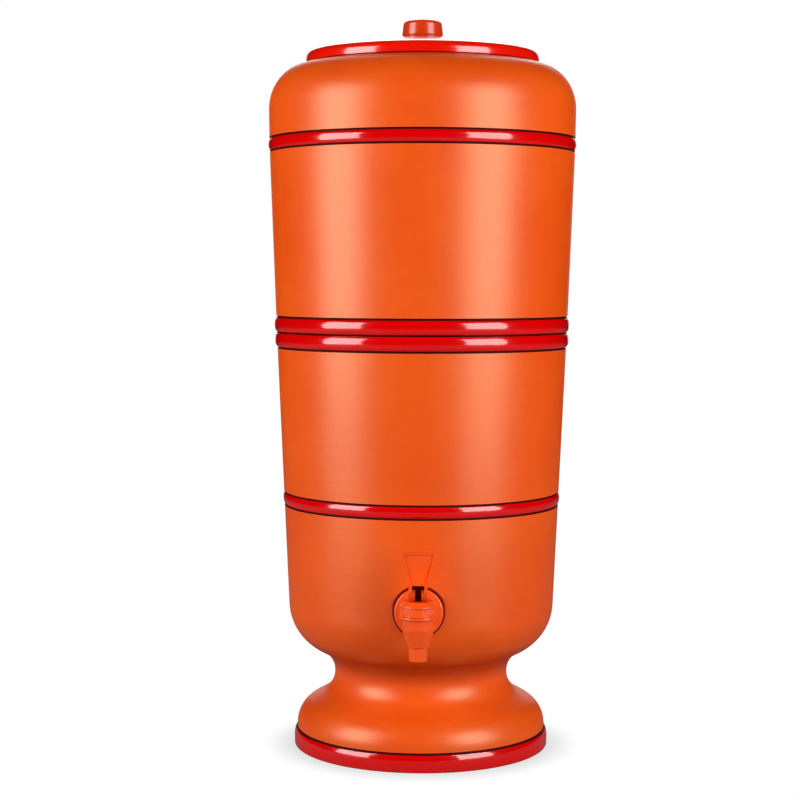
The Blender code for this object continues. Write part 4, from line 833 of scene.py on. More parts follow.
def draw_line(name, points, closed=False):
    """Draws a line by extruding one point from place to place, and stays in edit mode."""
    bpy.ops.object.select_all(action="DESELECT")
    bpy.ops.mesh.primitive_plane_add(size=0.01)
    piece = bpy.context.object
    piece.name = name
    piece.data.name = name
    bpy.ops.object.mode_set(mode="EDIT")
    bpy.ops.mesh.merge(type="CENTER")
    bpy.ops.transform.translate(value=points[0])
    route = list(points) + [points[0]] if closed else list(points)
    for before, after in zip(route, route[1:]):
        step = tuple(Vector(after) - Vector(before))
        bpy.ops.mesh.extrude_vertices_move(TRANSFORM_OT_translate={"value": step})
    bpy.ops.mesh.select_all(action="SELECT")
    bpy.ops.mesh.remove_doubles(threshold=WELD)
    return piece


def settle(piece, place=(0, 0, 0), turn=UPRIGHT):
    """Puts a finished shape in its place, which then lies in its mesh."""
    select_only(piece)
    piece.location = place
    piece.rotation_euler = turn
    bpy.ops.object.transform_apply(location=True, rotation=True, scale=True)
    return piece


def turned(name, outline, sides, place=(0, 0, 0), turn=UPRIGHT, closed=False):
    """Spins an outline about the Z axis."""
    line = [(radius, 0, height) for radius, height in outline]
    piece = draw_line(name, line, closed)
    bpy.ops.mesh.spin(steps=sides, angle=math.tau, center=(0, 0, 0), axis=(0, 0, 1))
    bpy.ops.object.mode_set(mode="OBJECT")
    weld(piece)
    return settle(piece, place, turn)


def plate(name, outline, thickness, place=(0, 0, 0), turn=UPRIGHT):
    """Fills a flat outline and extrudes it evenly to both sides."""
    line = [(across, up, -thickness / 2) for across, up in outline]
    piece = draw_line(name, line, closed=True)
    bpy.ops.mesh.edge_face_add()
    bpy.ops.mesh.extrude_region_move(TRANSFORM_OT_translate={"value": (0, 0, thickness)})
    bpy.ops.object.mode_set(mode="OBJECT")
    weld(piece)
    return settle(piece, place, turn)


def rod(name, radius, low, high, sides, place=(0, 0, 0), turn=UPRIGHT):
    """A cylinder between two heights on its own axis."""
    bpy.ops.object.select_all(action="DESELECT")
    middle = (0, 0, (low + high) / 2)
    bpy.ops.mesh.primitive_cylinder_add(
        vertices=sides, radius=radius, depth=high - low, location=middle
    )
    piece = bpy.context.object
    piece.name = name
    bpy.ops.object.transform_apply(location=True, rotation=True, scale=True)
    return settle(piece, place, turn)


def ring(name, outer, inner, low, high, place=(0, 0, 0), turn=UPRIGHT):
    """A flat washer with rounded edges."""
    corners = [(outer, high), (outer, low), (inner, low), (inner, high)]
    outline = rounded_loop([(*corner, GASKET_ROUND) for corner in corners])
    return turned(name, outline, TAP_SIDES, place, turn, closed=True)


def combine(piece, other, operation):
    """Applies a Boolean with another piece, which is used up."""
    select_only(piece)
    modify(piece, "BOOLEAN", operation=operation, solver="EXACT", object=other)
    bpy.data.objects.remove(other)
    return piece


def cut(piece, cutter):
    return combine(piece, cutter, "DIFFERENCE")


def join(piece, other):
    return combine(piece, other, "UNION")


def soften(piece, width, steps=3, angle=40):
    """Rounds the sharp edges."""
    weld(piece, recalculate=False)
    limit = {"limit_method": "ANGLE", "angle_limit": math.radians(angle)}
    modify(piece, "BEVEL", width=width, segments=steps, **limit)
    return piece


def thread(name, crest, low, high, place, turn):
    """A threaded rod, cut flat at both ends."""
    root = crest - THREAD_DEPTH
    pitch = THREAD_PITCH
    tooth = [
        (root, 0, low - pitch), (root, 0, low - pitch * (1 - TOOTH_FOOT)),
        (crest, 0, low - pitch * (1 - TOOTH_CREST)), (crest, 0, low - pitch * TOOTH_CREST),
        (root, 0, low - pitch * TOOTH_FOOT), (root, 0, low),
    ]
    piece = draw_line(name, tooth)
    bpy.ops.object.mode_set(mode="OBJECT")
    turns = math.ceil((high - low) / pitch) + 2
    coil(piece, pitch, turns, TAP_SIDES, use_merge_vertices=True, merge_threshold=WELD)
    weld(piece)
    for height, below in ((low, True), (high, False)):
        edit_all()
        cleared = {"clear_inner": below, "clear_outer": not below}
        bpy.ops.mesh.bisect(plane_co=(0, 0, height), plane_no=(0, 0, 1), use_fill=True, **cleared)
        bpy.ops.object.mode_set(mode="OBJECT")
    weld(piece)
    return settle(piece, place, turn)


def pick(piece, wanted, kind="faces"):
    """Selects what passes a test on its middle, and stays in edit mode."""
    select_only(piece)
    bpy.ops.object.mode_set(mode="EDIT")
    bpy.ops.mesh.select_mode(type="FACE" if kind == "faces" else "VERT")
    bpy.ops.mesh.select_all(action="DESELECT")
    shape = bmesh.from_edit_mesh(piece.data)
    for part in getattr(shape, kind):
        middle = part.calc_center_median() if kind == "faces" else part.co
        part.select_set(wanted(middle, part))
    shape.select_flush_mode()
    bmesh.update_edit_mesh(piece.data)


def leave():
    """Leaves edit mode with points as what is picked."""
    bpy.ops.mesh.select_mode(type="VERT")
    bpy.ops.object.mode_set(mode="OBJECT")


def press_grips(piece, radius, count, picked, depth):
    """Moves some of the points around a turned wall in or out, to make grips."""
    sides = POINTS_PER_GRIP * count

    def on_grip(place, point):
        if abs(place.xy.length - radius) > CLOSE:
            return False
        step = round(math.atan2(place.y, place.x) / math.tau * sides)
        return step % POINTS_PER_GRIP in picked

    pick(piece, on_grip, "verts")
    grow = 1 + depth / radius
    bpy.ops.transform.resize(value=(grow, grow, 1), center_override=(0, 0, 0))
    leave()


def dress(piece, material, body, *nodes):
    """Gives a piece its finish and smooth shading, and seats it on its body."""
    select_only(piece)
    if not piece.data.materials:
        piece.data.materials.append(material)
    bpy.ops.object.shade_smooth_by_angle(angle=SMOOTH_ANGLE)
    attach(piece, body)
    if nodes:
        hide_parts(*nodes)
    return piece


def copy_across(piece, name, body, node):
    """A second copy with its own mesh, half a turn round the vessel's axis."""
    select_only(piece)
    bpy.ops.object.duplicate(linked=False)
    twin = bpy.context.object
    twin.name = name
    twin.data.name = name
    for key in list(twin.keys()):
        del twin[key]
    twin.parent = None
    half_turn = Matrix.Rotation(math.pi, 4, "Z")
    middle = Matrix.Translation((0, AXIS_Y, 0))
    twin.matrix_world = middle @ half_turn @ middle.inverted() @ piece.matrix_world
    bpy.ops.object.transform_apply(location=True, rotation=True, scale=True)
    return dress(twin, None, body, node)


def in_place(piece, matrix):
    """Applies a placing to a shape drawn about its own axis."""
    select_only(piece)
    piece.matrix_world = matrix
    bpy.ops.object.transform_apply(location=True, rotation=True, scale=True)
    return piece


# Vessel


def foot_outside():
    corners = [
        (lower_wall_radius(LOW_BAND_HEIGHT), LOW_BAND_HEIGHT, 0),
        (BOWL_RADIUS, BOWL_HEIGHT, BOWL_ROUND), (NECK_RADIUS, NECK_TOP_HEIGHT, NECK_TOP_ROUND),
        (NECK_RADIUS, NECK_FOOT_HEIGHT, NECK_FOOT_ROUND), (FOOT_RADIUS, FOOT_HEIGHT, FOOT_ROUND),
        (BASE_BAND_EDGE_RADIUS - GROOVE_DEPTH, BASE_BAND_HEIGHT + GROOVE_WIDTH, 0),
    ]
    return rounded(corners, CURVE_STEPS)[1:]


def base_band():
    corners = [
        (BASE_RADIUS, BASE_BULGE_HEIGHT, 0), (BASE_GROUND_RADIUS, 0, BASE_GROUND_ROUND),
        (BASE_INNER_RADIUS, 0, 0),
    ]
    centre = (BASE_RADIUS - BASE_BULGE, BASE_BULGE_HEIGHT)
    bulge = ellipse(centre, (BASE_BULGE, BASE_BULGE_RISE), BASE_BULGE_START, 0)
    edge = [(BASE_BAND_EDGE_RADIUS - GROOVE_DEPTH, BASE_BAND_HEIGHT)]
    return edge + bulge[:-1] + rounded(corners, EDGE_STEPS)


def foot_inside(wall):
    underside = BOWL_FLOOR_HEIGHT - FLOOR_THICKNESS
    neck = NECK_RADIUS - wall
    corners = [
        (BASE_INNER_RADIUS, 0, 0), (FOOT_RADIUS - wall, FOOT_HEIGHT - wall, FOOT_ROUND - wall),
        (neck, NECK_FOOT_HEIGHT - wall / 2, NECK_FOOT_ROUND), (neck, underside, wall),
        (0, underside, 0),
    ]
    return rounded(corners, CURVE_STEPS)[1:]


def tap_places(wall):
    """Distances from the vessel's axis of the tap's seats, flange and nut."""
    seat = math.sqrt(lower_wall_radius(TAP_HEIGHT) ** 2 - OUTER_GASKET_RADIUS**2)
    inner = lower_wall_radius(TAP_HEIGHT + INNER_GASKET_RADIUS) - wall
    flange = seat + 2 * GAP + GASKET_THICKNESS
    nut = inner - 2 * GAP - GASKET_THICKNESS
    return seat, inner, flange, nut


def paint_bands(piece, settings, bands):
    """Clay all over, then paint on each raised band, and painted shade as dark lines in the
    grooves along its edges.
    """
    piece.data.materials.append(finish("clay", fired_clay, settings))
    piece.data.materials.append(finish("paint", gloss_paint, settings))
    # The third finish is painted shade: dark lines in the grooves and on the bands' edges,
    # standing in for their shadow.
    piece.data.materials.append(finish("line", dark_rubber, "band_line", settings.line))
    for middle, width in bands:
        for slot, half in ((2, width / 2 + GROOVE_WIDTH), (1, width / 2 * PAINTED_SHARE)):

            def outer(place, face):
                reach = Vector((place.x, place.y - AXIS_Y))
                if abs(place.z - middle) > half or reach.length < BASE_INNER_RADIUS + OVERRUN:
                    return False
                return face.normal.xy.dot(reach) > WELD

            pick(piece, outer)
            piece.active_material_index = slot
            bpy.ops.object.material_slot_assign()
            leave()


class FilterLowerReservoir(bpy.types.Operator):
    """Lower clay reservoir on its waisted foot"""

    bl_idname = "water_filter.lower_reservoir"
    bl_label = "Lower Reservoir"

    def execute(self, context):
        settings = context.scene.filter_vessel
        wall = settings.clay_wall
        seam_inside = lower_wall_radius(SEAM_HEIGHT) - wall
        corners = [
            (0, BOWL_FLOOR_HEIGHT, 0),
            (lower_wall_radius(BOWL_FLOOR_HEIGHT) - wall, BOWL_FLOOR_HEIGHT, BOWL_FLOOR_ROUND),
            (seam_inside, SEAM_HEIGHT, LIP_ROUND / 2),
            (lower_wall_radius(SEAM_HEIGHT) - GROOVE_DEPTH, SEAM_HEIGHT, 0),
        ]
        outline = rounded(corners, CURVE_STEPS)
        outline += band(
            LOWER_SEAM_BAND, SEAM_BAND_WIDTH, SEAM_BAND_PROUD, lower_wall_radius, line_above=False
        )
        outline += band(LOW_BAND_HEIGHT, LOW_BAND_WIDTH, LOW_BAND_PROUD, lower_wall_radius)
        outline += foot_outside()
        outline += base_band()
        outline += foot_inside(wall)
        piece = turned("clay_lower_reservoir", outline, VESSEL_SIDES, (0, AXIS_Y, 0))
        cut(piece, self.tap_hole(wall))
        bands = [
            (LOWER_SEAM_BAND, SEAM_BAND_WIDTH), (LOW_BAND_HEIGHT, LOW_BAND_WIDTH),
            (BASE_BAND_HEIGHT / 2, BASE_BAND_HEIGHT),
        ]
        paint_bands(piece, settings, bands)
        dress(piece, None, "lower_vessel", "lower_reservoir")
        return {"FINISHED"}

    def tap_hole(self, wall):
        """The shank's hole with a flat seat on either side of the clay."""
        seat, inner = tap_places(wall)[:2]
        outer_seat = OUTER_GASKET_RADIUS + SPOT_FACE_MARGIN
        inner_seat = INNER_GASKET_RADIUS + SPOT_FACE_MARGIN
        hole = SHANK_RADIUS + SHANK_CLEARANCE
        corners = [
            (0, seat + OVERRUN, 0), (outer_seat, seat + OVERRUN, 0), (outer_seat, seat, 0),
            (hole, seat, 0), (hole, inner, 0), (inner_seat, inner, 0),
            (inner_seat, inner - OVERRUN, 0), (0, inner - OVERRUN, 0),
        ]
        place = (0, AXIS_Y, TAP_HEIGHT)
        return turned("tap_hole", rounded(corners), TAP_SIDES, place, OUTWARD)


class FilterUpperReservoir(bpy.types.Operator):
    """Upper clay reservoir, open at its mouth"""

    bl_idname = "water_filter.upper_reservoir"
    bl_label = "Upper Reservoir"

    def execute(self, context):
        settings = context.scene.filter_vessel
        wall = settings.clay_wall
        centre = (SHOULDER_RADIUS - SHOULDER_DEPTH, SHOULDER_HEIGHT)
        spigot = lower_wall_radius(SPIGOT_BOTTOM) - wall - SPIGOT_CLEARANCE
        corners = [
            (0, UPPER_FLOOR, 0),
            (upper_wall_radius(UPPER_FLOOR) - wall, UPPER_FLOOR, UPPER_FLOOR_ROUND),
            (SHOULDER_RADIUS - wall, SHOULDER_HEIGHT, 0),
        ]
        outline = rounded(corners, CURVE_STEPS)[:-1]
        inner_radii = (SHOULDER_DEPTH - wall, SHOULDER_RISE - wall)
        outline += ellipse(centre, inner_radii, 0, 90)
        outline += [(MOUTH_RADIUS + LIP_ROUND / 2, SHOULDER_TOP - wall)]
        outline += [(MOUTH_RADIUS, SHOULDER_TOP - wall + LIP_ROUND / 2)]
        lip = (MOUTH_RADIUS + LIP_ROUND, SHOULDER_TOP - LIP_ROUND)
        outline += arc(lip, LIP_ROUND, 180, 90, EDGE_STEPS)
        outline += ellipse(centre, (SHOULDER_DEPTH, SHOULDER_RISE), 90, 0, 2 * CURVE_STEPS)
        outline += band(TOP_BAND_HEIGHT, TOP_BAND_WIDTH, TOP_BAND_PROUD, upper_wall_radius)
        outline += band(
            UPPER_SEAM_BAND, SEAM_BAND_WIDTH, SEAM_BAND_PROUD, upper_wall_radius, line_below=False
        )
        foot = (spigot - LIP_ROUND, SPIGOT_BOTTOM + LIP_ROUND)
        outline += [(spigot, UPPER_BOTTOM), (spigot, foot[1])]
        outline += arc(foot, LIP_ROUND, 0, -90, EDGE_STEPS)
        outline += [(0, SPIGOT_BOTTOM)]
        piece = turned("clay_upper_reservoir", outline, VESSEL_SIDES, (0, AXIS_Y, 0))
        spacing = context.scene.filter_candles.spacing
        radius = STEM_TUBE_RADIUS + STEM_HOLE_CLEARANCE
        low, high = SPIGOT_BOTTOM - OVERRUN, UPPER_FLOOR + OVERRUN
        for side in (-1, 1):
            place = (side * spacing / 2, AXIS_Y, 0)
            cut(piece, rod("stem_hole", radius, low, high, SMALL_SIDES, place))
        bands = [(TOP_BAND_HEIGHT, TOP_BAND_WIDTH), (UPPER_SEAM_BAND, SEAM_BAND_WIDTH)]
        paint_bands(piece, settings, bands)
        dress(piece, None, "upper_vessel", "upper_reservoir")
        return {"FINISHED"}


# Cover


class FilterCover(bpy.types.Operator):
    """Cover with its knob and the screw that holds it"""

    bl_idname = "water_filter.cover"
    bl_label = "Cover"

    def execute(self, context):
        vessel = context.scene.filter_vessel
        tap = context.scene.filter_tap
        place = (0, AXIS_Y, 0)
        cover = turned("cover_shell", self.shell_outline(), LID_SIDES, place, closed=True)
        dress(cover, finish("cover", cover_plastic, vessel), "lid", "lid")
        knob = turned("cover_knob", self.knob_outline(), TAP_SIDES, place)
        plastic = finish("knob", moulded_plastic, "knob_plastic", tap.knob)
        dress(knob, plastic, "lid", "lid_knob")
        screw = turned("cover_screw", self.screw_outline(), SMALL_SIDES, place)
        place = (0, AXIS_Y, KNOB_SEAT - LID_WALL - GAP - SCREW_HEAD_HEIGHT)
        slot = rectangle(SCREW_SLOT_LENGTH, SCREW_SLOT_WIDTH)
        for turn in (UPRIGHT, (0, 0, QUARTER)):
            cut(screw, plate("slot", slot, 2 * SCREW_SLOT_DEPTH, place, turn))
        dress(screw, finish("steel", drawn_steel), "lid", "lid_screw")
        return {"FINISHED"}

    def shell_outline(self):
        hole = SCREW_RADIUS + GAP
        middle = LID_BOTTOM + LID_RIM_MIDDLE
        radii = (LID_RIM_BULGE, LID_RIM_TOP - middle)
        rim = ellipse((LID_RADIUS - LID_RIM_BULGE, middle), radii, *LID_RIM_ARC)
        crown = LID_RIM_TOP + LID_RISE * LID_CROWN_SHARE
        skirt_outer = MOUTH_RADIUS - LID_SKIRT_CLEARANCE
        skirt_inner = skirt_outer - LID_WALL
        dome = self.dome((KNOB_SEAT_RADIUS, KNOB_SEAT), (LID_DOME_RADIUS, crown), rim[0])
        outline = [(hole, KNOB_SEAT), *dome, *rim[:-1]]
        low = LID_BOTTOM - LID_SKIRT_DEPTH
        foot = [
            (*rim[-2], 0), (*rim[-1], 0), (LID_SEAT_RADIUS, rim[-1][1], 0),
            (LID_SEAT_RADIUS - LID_FOOT_ROUND, LID_BOTTOM, 0),
            (skirt_outer, LID_BOTTOM, LID_FOOT_ROUND), (skirt_outer, low, LID_FOOT_ROUND),
            (skirt_inner, low, LID_FOOT_ROUND),
            (skirt_inner, LID_RIM_TOP - LID_WALL, 2 * LID_FOOT_ROUND),
            (LID_DOME_RADIUS, crown - LID_WALL, 0),
        ]
        outline += rounded(foot)[1:-1]
        outline += [(radius, height - LID_WALL) for radius, height in reversed(dome[:-1])]
        outline += [(hole, KNOB_SEAT - LID_WALL)]
        return outline

    def dome(self, seat, crown, end):
        """A smooth curve from the knob's seat through the crown to the rounded rim."""
        points = []
        for step in range(CURVE_STEPS + 1):
            radius = seat[0] + (end[0] - seat[0]) * step / CURVE_STEPS
            share = (radius - seat[0]) / (end[0] - seat[0])
            at_crown = (crown[0] - seat[0]) / (end[0] - seat[0])
            straight = seat[1] + (end[1] - seat[1]) * share
            bow = crown[1] - (seat[1] + (end[1] - seat[1]) * at_crown)
            rise = share * (1 - share) / (at_crown * (1 - at_crown))
            points.append((radius, straight + bow * rise))
        return points[:-1]

    def knob_outline(self):
        bottom = KNOB_SEAT + GAP
        top = bottom + KNOB_HEIGHT
        hole = SCREW_RADIUS + GAP
        hole_top = bottom + SCREW_BITE + GAP
        edge = (KNOB_RADIUS - KNOB_DRAFT - KNOB_ROUND, top - KNOB_ROUND)
        outline = [(0, top), (edge[0] / 2, top - KNOB_CROWN / 2)]
        outline += arc(edge, KNOB_ROUND, KNOB_ROUND_START, 0)
        foot = [
            outline[-1] + (0,),
            (KNOB_RADIUS, bottom + KNOB_BASE_HEIGHT, KNOB_BASE_CHAMFER),
            (KNOB_RADIUS - KNOB_BASE_CHAMFER, bottom, KNOB_BASE_CHAMFER / 2),
            (hole, bottom, 0),
            (hole, hole_top, 0),
            (0, hole_top, 0),
        ]
        return outline + rounded(foot)[1:]

    def screw_outline(self):
        head_top = KNOB_SEAT - LID_WALL - GAP
        corners = [
            (0, KNOB_SEAT + SCREW_BITE, 0),
            (SCREW_RADIUS, KNOB_SEAT + SCREW_BITE, SCREW_RADIUS / 4), (SCREW_RADIUS, head_top, 0),
            (SCREW_HEAD_RADIUS, head_top, 0),
            (SCREW_HEAD_RADIUS, head_top - SCREW_HEAD_HEIGHT, SCREW_HEAD_ROUND),
            (0, head_top - SCREW_HEAD_HEIGHT, 0),
        ]
        return rounded(corners, CURVE_STEPS)


# Tap


class FilterTapBody(bpy.types.Operator):
    """Spout, collar and threaded shank of the tap"""

    bl_idname = "water_filter.tap_body"
    bl_label = "Tap Body"

    def execute(self, context):
        settings = context.scene.filter_tap
        wall = context.scene.filter_vessel.clay_wall
        spout = (0, SPOUT_Y, 0)
        corners = [
            (0, THREAD_TOP, 0), (NECK_THREAD_RADIUS, THREAD_TOP, COLLAR_ROUND),
            (NECK_THREAD_RADIUS, COLLAR_TOP, 0), (COLLAR_RADIUS, COLLAR_TOP, COLLAR_ROUND),
            (COLLAR_RADIUS, COLLAR_BOTTOM, COLLAR_ROUND), (BARREL_RADIUS, COLLAR_BOTTOM, 0),
            (BARREL_RADIUS, BARREL_BOTTOM, BARREL_ROUND),
            (CONE_END_RADIUS, CONE_BOTTOM, CONE_END_ROUND),
            (NOZZLE_RADIUS, CONE_BOTTOM - NOZZLE_STEP, CONE_END_ROUND / 2),
            (NOZZLE_RADIUS - NOZZLE_TAPER, NOZZLE_BOTTOM, NOZZLE_ROUND), (0, NOZZLE_BOTTOM, 0),
        ]
        piece = turned("tap_spout", rounded(corners, EDGE_STEPS + 2), TAP_SIDES, spout)
        self.add_shank(piece, wall)
        chamber = [
            (0, THREAD_TOP + OVERRUN, 0), (CHAMBER_RADIUS, THREAD_TOP + OVERRUN, 0),
            (CHAMBER_RADIUS, CHAMBER_FLOOR, COLLAR_ROUND),
            (NOZZLE_BORE_RADIUS, CHAMBER_FLOOR, COLLAR_ROUND / 2),
            (NOZZLE_BORE_RADIUS, NOZZLE_BOTTOM - OVERRUN, 0), (0, NOZZLE_BOTTOM - OVERRUN, 0),
        ]
        cut(piece, turned("chamber", rounded(chamber), TAP_SIDES, spout))
        nut = tap_places(wall)[3]
        low = nut - NUT_THICKNESS - SHANK_PROTRUSION - OVERRUN
        place = (0, AXIS_Y, INLET_HEIGHT)
        inlet = rod("inlet", INLET_RADIUS, low, SPOUT_REACH, SMALL_SIDES, place, OUTWARD)
        cut(piece, inlet)
        soften(piece, MOULDED_EDGE / 2, 2)
        dress(piece, tap_plastic(settings), "lower_vessel", "tap_body")
        return {"FINISHED"}

    def add_shank(self, piece, wall):
        """Joins the branch, the flange and the threaded shank to the spout."""
        seat, inner, flange, nut = tap_places(wall)
        front = flange + FLANGE_THICKNESS
        end = nut - NUT_THICKNESS - SHANK_PROTRUSION
        start = flange + FLANGE_THICKNESS / 2
        middle = (start + SPOUT_REACH) / 2
        branch = rectangle(BRANCH_WIDTH, BRANCH_HEIGHT, BRANCH_ROUND)
        place = (0, AXIS_Y - middle, INLET_HEIGHT)
        join(piece, plate("branch", branch, SPOUT_REACH - start, place, FRONT_VIEW))
        corners = [
            (0, front, 0), (FLANGE_RADIUS, front, FLANGE_ROUND),
            (FLANGE_RADIUS, flange, MOULDED_EDGE / 2),
            (SHANK_RADIUS - THREAD_DEPTH / 2, flange, 0),
            (SHANK_RADIUS - THREAD_DEPTH / 2, inner, 0), (0, inner, 0),
        ]
        place = (0, AXIS_Y, TAP_HEIGHT)
        join(piece, turned("flange", rounded(corners), TAP_SIDES, place, OUTWARD))
        join(piece, thread("shank", SHANK_RADIUS, end, seat, place, OUTWARD))


class FilterTapCap(bpy.types.Operator):
    """Ribbed cap that closes the tap and guides its stem"""

    bl_idname = "water_filter.tap_cap"
    bl_label = "Tap Cap"

    def execute(self, context):
        settings = context.scene.filter_tap
        upper = BONNET_TOP - BONNET_SHOULDER_HEIGHT
        bore = NECK_THREAD_RADIUS + GAP
        bead = BONNET_BEAD_HEIGHT
        soft = bead / 3
        corners = [
            (0, BONNET_TOP, 0), (BONNET_TOP_RADIUS, BONNET_TOP, BONNET_TOP_ROUND),
            (BONNET_RADIUS, upper, soft), (BONNET_RADIUS, upper - bead / 2, soft / 2),
            (BONNET_WAIST_RADIUS, upper - bead, 0), (BONNET_WAIST_RADIUS, BONNET_BOTTOM + bead, 0),
            (BONNET_RADIUS, BONNET_BOTTOM + bead / 2, soft / 2),
            (BONNET_RADIUS, BONNET_BOTTOM, soft / 2), (bore, BONNET_BOTTOM, 0),
            (bore, BONNET_CEILING, soft), (0, BONNET_CEILING, 0),
        ]
        piece = turned("tap_cap", rounded(corners), POINTS_PER_GRIP * settings.ribs)
        press_grips(piece, BONNET_WAIST_RADIUS, settings.ribs, (1, 2), BONNET_RIB_DEPTH)
        settle(piece, (0, SPOUT_Y, 0))
        slot = rectangle(BLADE_WIDTH + 2 * GAP, BLADE_THICKNESS + 2 * GAP)
        place = (0, SPOUT_Y, BONNET_TOP)
        cut(piece, plate("blade_slot", slot, 2 * OVERRUN, place))
        dress(piece, tap_plastic(settings), "lower_vessel", "tap_bonnet")
        return {"FINISHED"}


class FilterTapWashers(bpy.types.Operator):
    """Washers on either side of the clay and the nut that holds the tap"""

    bl_idname = "water_filter.tap_washers"
    bl_label = "Tap Washers and Nut"

    def execute(self, context):
        settings = context.scene.filter_tap
        wall = context.scene.filter_vessel.clay_wall
        seat, inner, _, nut = tap_places(wall)
        rubber = finish("rubber", dark_rubber, "dark_rubber", settings.rubber)
        hole = SHANK_RADIUS + GAP
        place = (0, AXIS_Y, TAP_HEIGHT)
        inner_low = inner - GAP - GASKET_THICKNESS
        washers = [
            ("outer_washer", OUTER_GASKET_RADIUS, seat + GAP, "tap_outer_gasket"),
            ("inner_washer", INNER_GASKET_RADIUS, inner_low, "tap_inner_gasket"),
        ]
        for name, radius, low, node in washers:
            washer = ring(name, radius, hole, low, low + GASKET_THICKNESS, place, OUTWARD)
            dress(washer, rubber, "lower_vessel", node)
        corner = NUT_FLATS / 2 / math.cos(math.pi / NUT_SIDES)
        hexagon = arc((0, 0), corner, 0, 360, NUT_SIDES)[:-1]
        middle = (0, AXIS_Y - nut + NUT_THICKNESS / 2, TAP_HEIGHT)
        piece = plate("shank_nut", hexagon, NUT_THICKNESS, middle, OUTWARD)
        half = NUT_THICKNESS / 2
        reach = NUT_FLATS / 2
        chamfer = [
            (0, half), (reach - NUT_CHAMFER / 4, half), (corner, half - NUT_CHAMFER),
            (corner, -half), (0, -half),
        ]
        combine(piece, turned("chamfer", chamfer, TAP_SIDES, middle, ALONG), "INTERSECT")
        bore = rod("bore", hole, -NUT_THICKNESS, NUT_THICKNESS, TAP_SIDES, middle, OUTWARD)
        cut(piece, bore)
        soften(piece, MOULDED_EDGE / 2, 2)
        dress(piece, tap_plastic(settings), "lower_vessel", "tap_back_nut")
        return {"FINISHED"}


class FilterTapStem(bpy.types.Operator):
    """Stem with its seal, which the lever lifts"""

    bl_idname = "water_filter.tap_stem"
    bl_label = "Tap Stem"

    def execute(self, context):
        settings = context.scene.filter_tap
        spout = (0, SPOUT_Y, 0)
        foot = SEAL_SOCKET_FLOOR + GAP
        corners = [
            (0, BLADE_BOTTOM, 0), (STEM_RADIUS, BLADE_BOTTOM, 0),
            (STEM_RADIUS, STEM_COLLAR_TOP, 0), (SEAL_RADIUS, STEM_COLLAR_TOP, GAP),
            (SEAL_RADIUS, STEM_COLLAR_BOTTOM, GAP), (STEM_FOOT_RADIUS, STEM_COLLAR_BOTTOM, 0),
            (STEM_FOOT_RADIUS, foot, GAP), (0, foot, 0),
        ]
        piece = turned("tap_plunger", rounded(corners), SMALL_SIDES, spout)
        start = BLADE_BOTTOM - STEM_RADIUS / 2
        middle = (0, SPOUT_Y, (start + PIVOT_HEIGHT) / 2)
        section = rectangle(BLADE_WIDTH, BLADE_THICKNESS, GAP)
        join(piece, plate("blade", section, PIVOT_HEIGHT - start, middle))
        pin, head = PIVOT_WIDTH / 2, STEM_HEAD_WIDTH / 2
        corners = [
            (0, pin, 0), (PIVOT_RADIUS, pin, GAP), (PIVOT_RADIUS, head, 0),
            (HEAD_RADIUS, head, GAP), (HEAD_RADIUS, -head, GAP), (PIVOT_RADIUS, -head, 0),
            (PIVOT_RADIUS, -pin, GAP), (0, -pin, 0),
        ]
        place = (0, SPOUT_Y, PIVOT_HEIGHT)
        join(piece, turned("head", rounded(corners), SMALL_SIDES, place, ACROSS))
        dark = finish("stem", dark_rubber, "stem_plastic", settings.stem)
        dress(piece, dark, "stem", "tap_stem")
        socket = STEM_FOOT_RADIUS + GAP
        corners = [
            (0, SEAL_SOCKET_FLOOR, 0), (socket, SEAL_SOCKET_FLOOR, 0), (socket, SEAL_TOP, GAP),
            (SEAL_RADIUS, SEAL_TOP, SEAL_ROUND), (SEAL_RADIUS, SEAL_BOTTOM, SEAL_ROUND),
            (0, SEAL_BOTTOM, 0),
        ]
        seal = turned("tap_seal", rounded(corners), SMALL_SIDES, spout)
        dress(seal, finish("silicone", clear_silicone), "stem", "tap_seat_seal")
        return {"FINISHED"}


class FilterTapSpring(bpy.types.Operator):
    """Return spring between the stem's collar and the cap"""

    bl_idname = "water_filter.tap_spring"
    bl_label = "Tap Spring"

    def execute(self, context):
        low = STEM_COLLAR_TOP + GAP + SPRING_WIRE_RADIUS
        high = BONNET_CEILING - GAP - SPRING_WIRE_RADIUS
        bpy.ops.object.select_all(action="DESELECT")
        bpy.ops.mesh.primitive_circle_add(
            vertices=SPRING_WIRE_SIDES,
            radius=SPRING_WIRE_RADIUS,
            location=(SPRING_RADIUS, 0, low),
            rotation=(QUARTER, 0, 0),
        )
        piece = bpy.context.object
        piece.name = "return_spring"
        bpy.ops.object.transform_apply(location=True, rotation=True, scale=True)
        coil(piece, (high - low) / SPRING_TURNS, SPRING_TURNS, SPRING_STEPS)
        edit_all()
        bpy.ops.mesh.fill_holes(sides=0)
        bpy.ops.object.mode_set(mode="OBJECT")
        weld(piece)
        settle(piece, (0, SPOUT_Y, 0))
        dress(piece, finish("steel", drawn_steel), "lower_vessel", "tap_spring")
        left = 1 - STEM_LIFT / (high - low + 2 * SPRING_WIRE_RADIUS)
        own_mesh(piece)
        return {"FINISHED"}


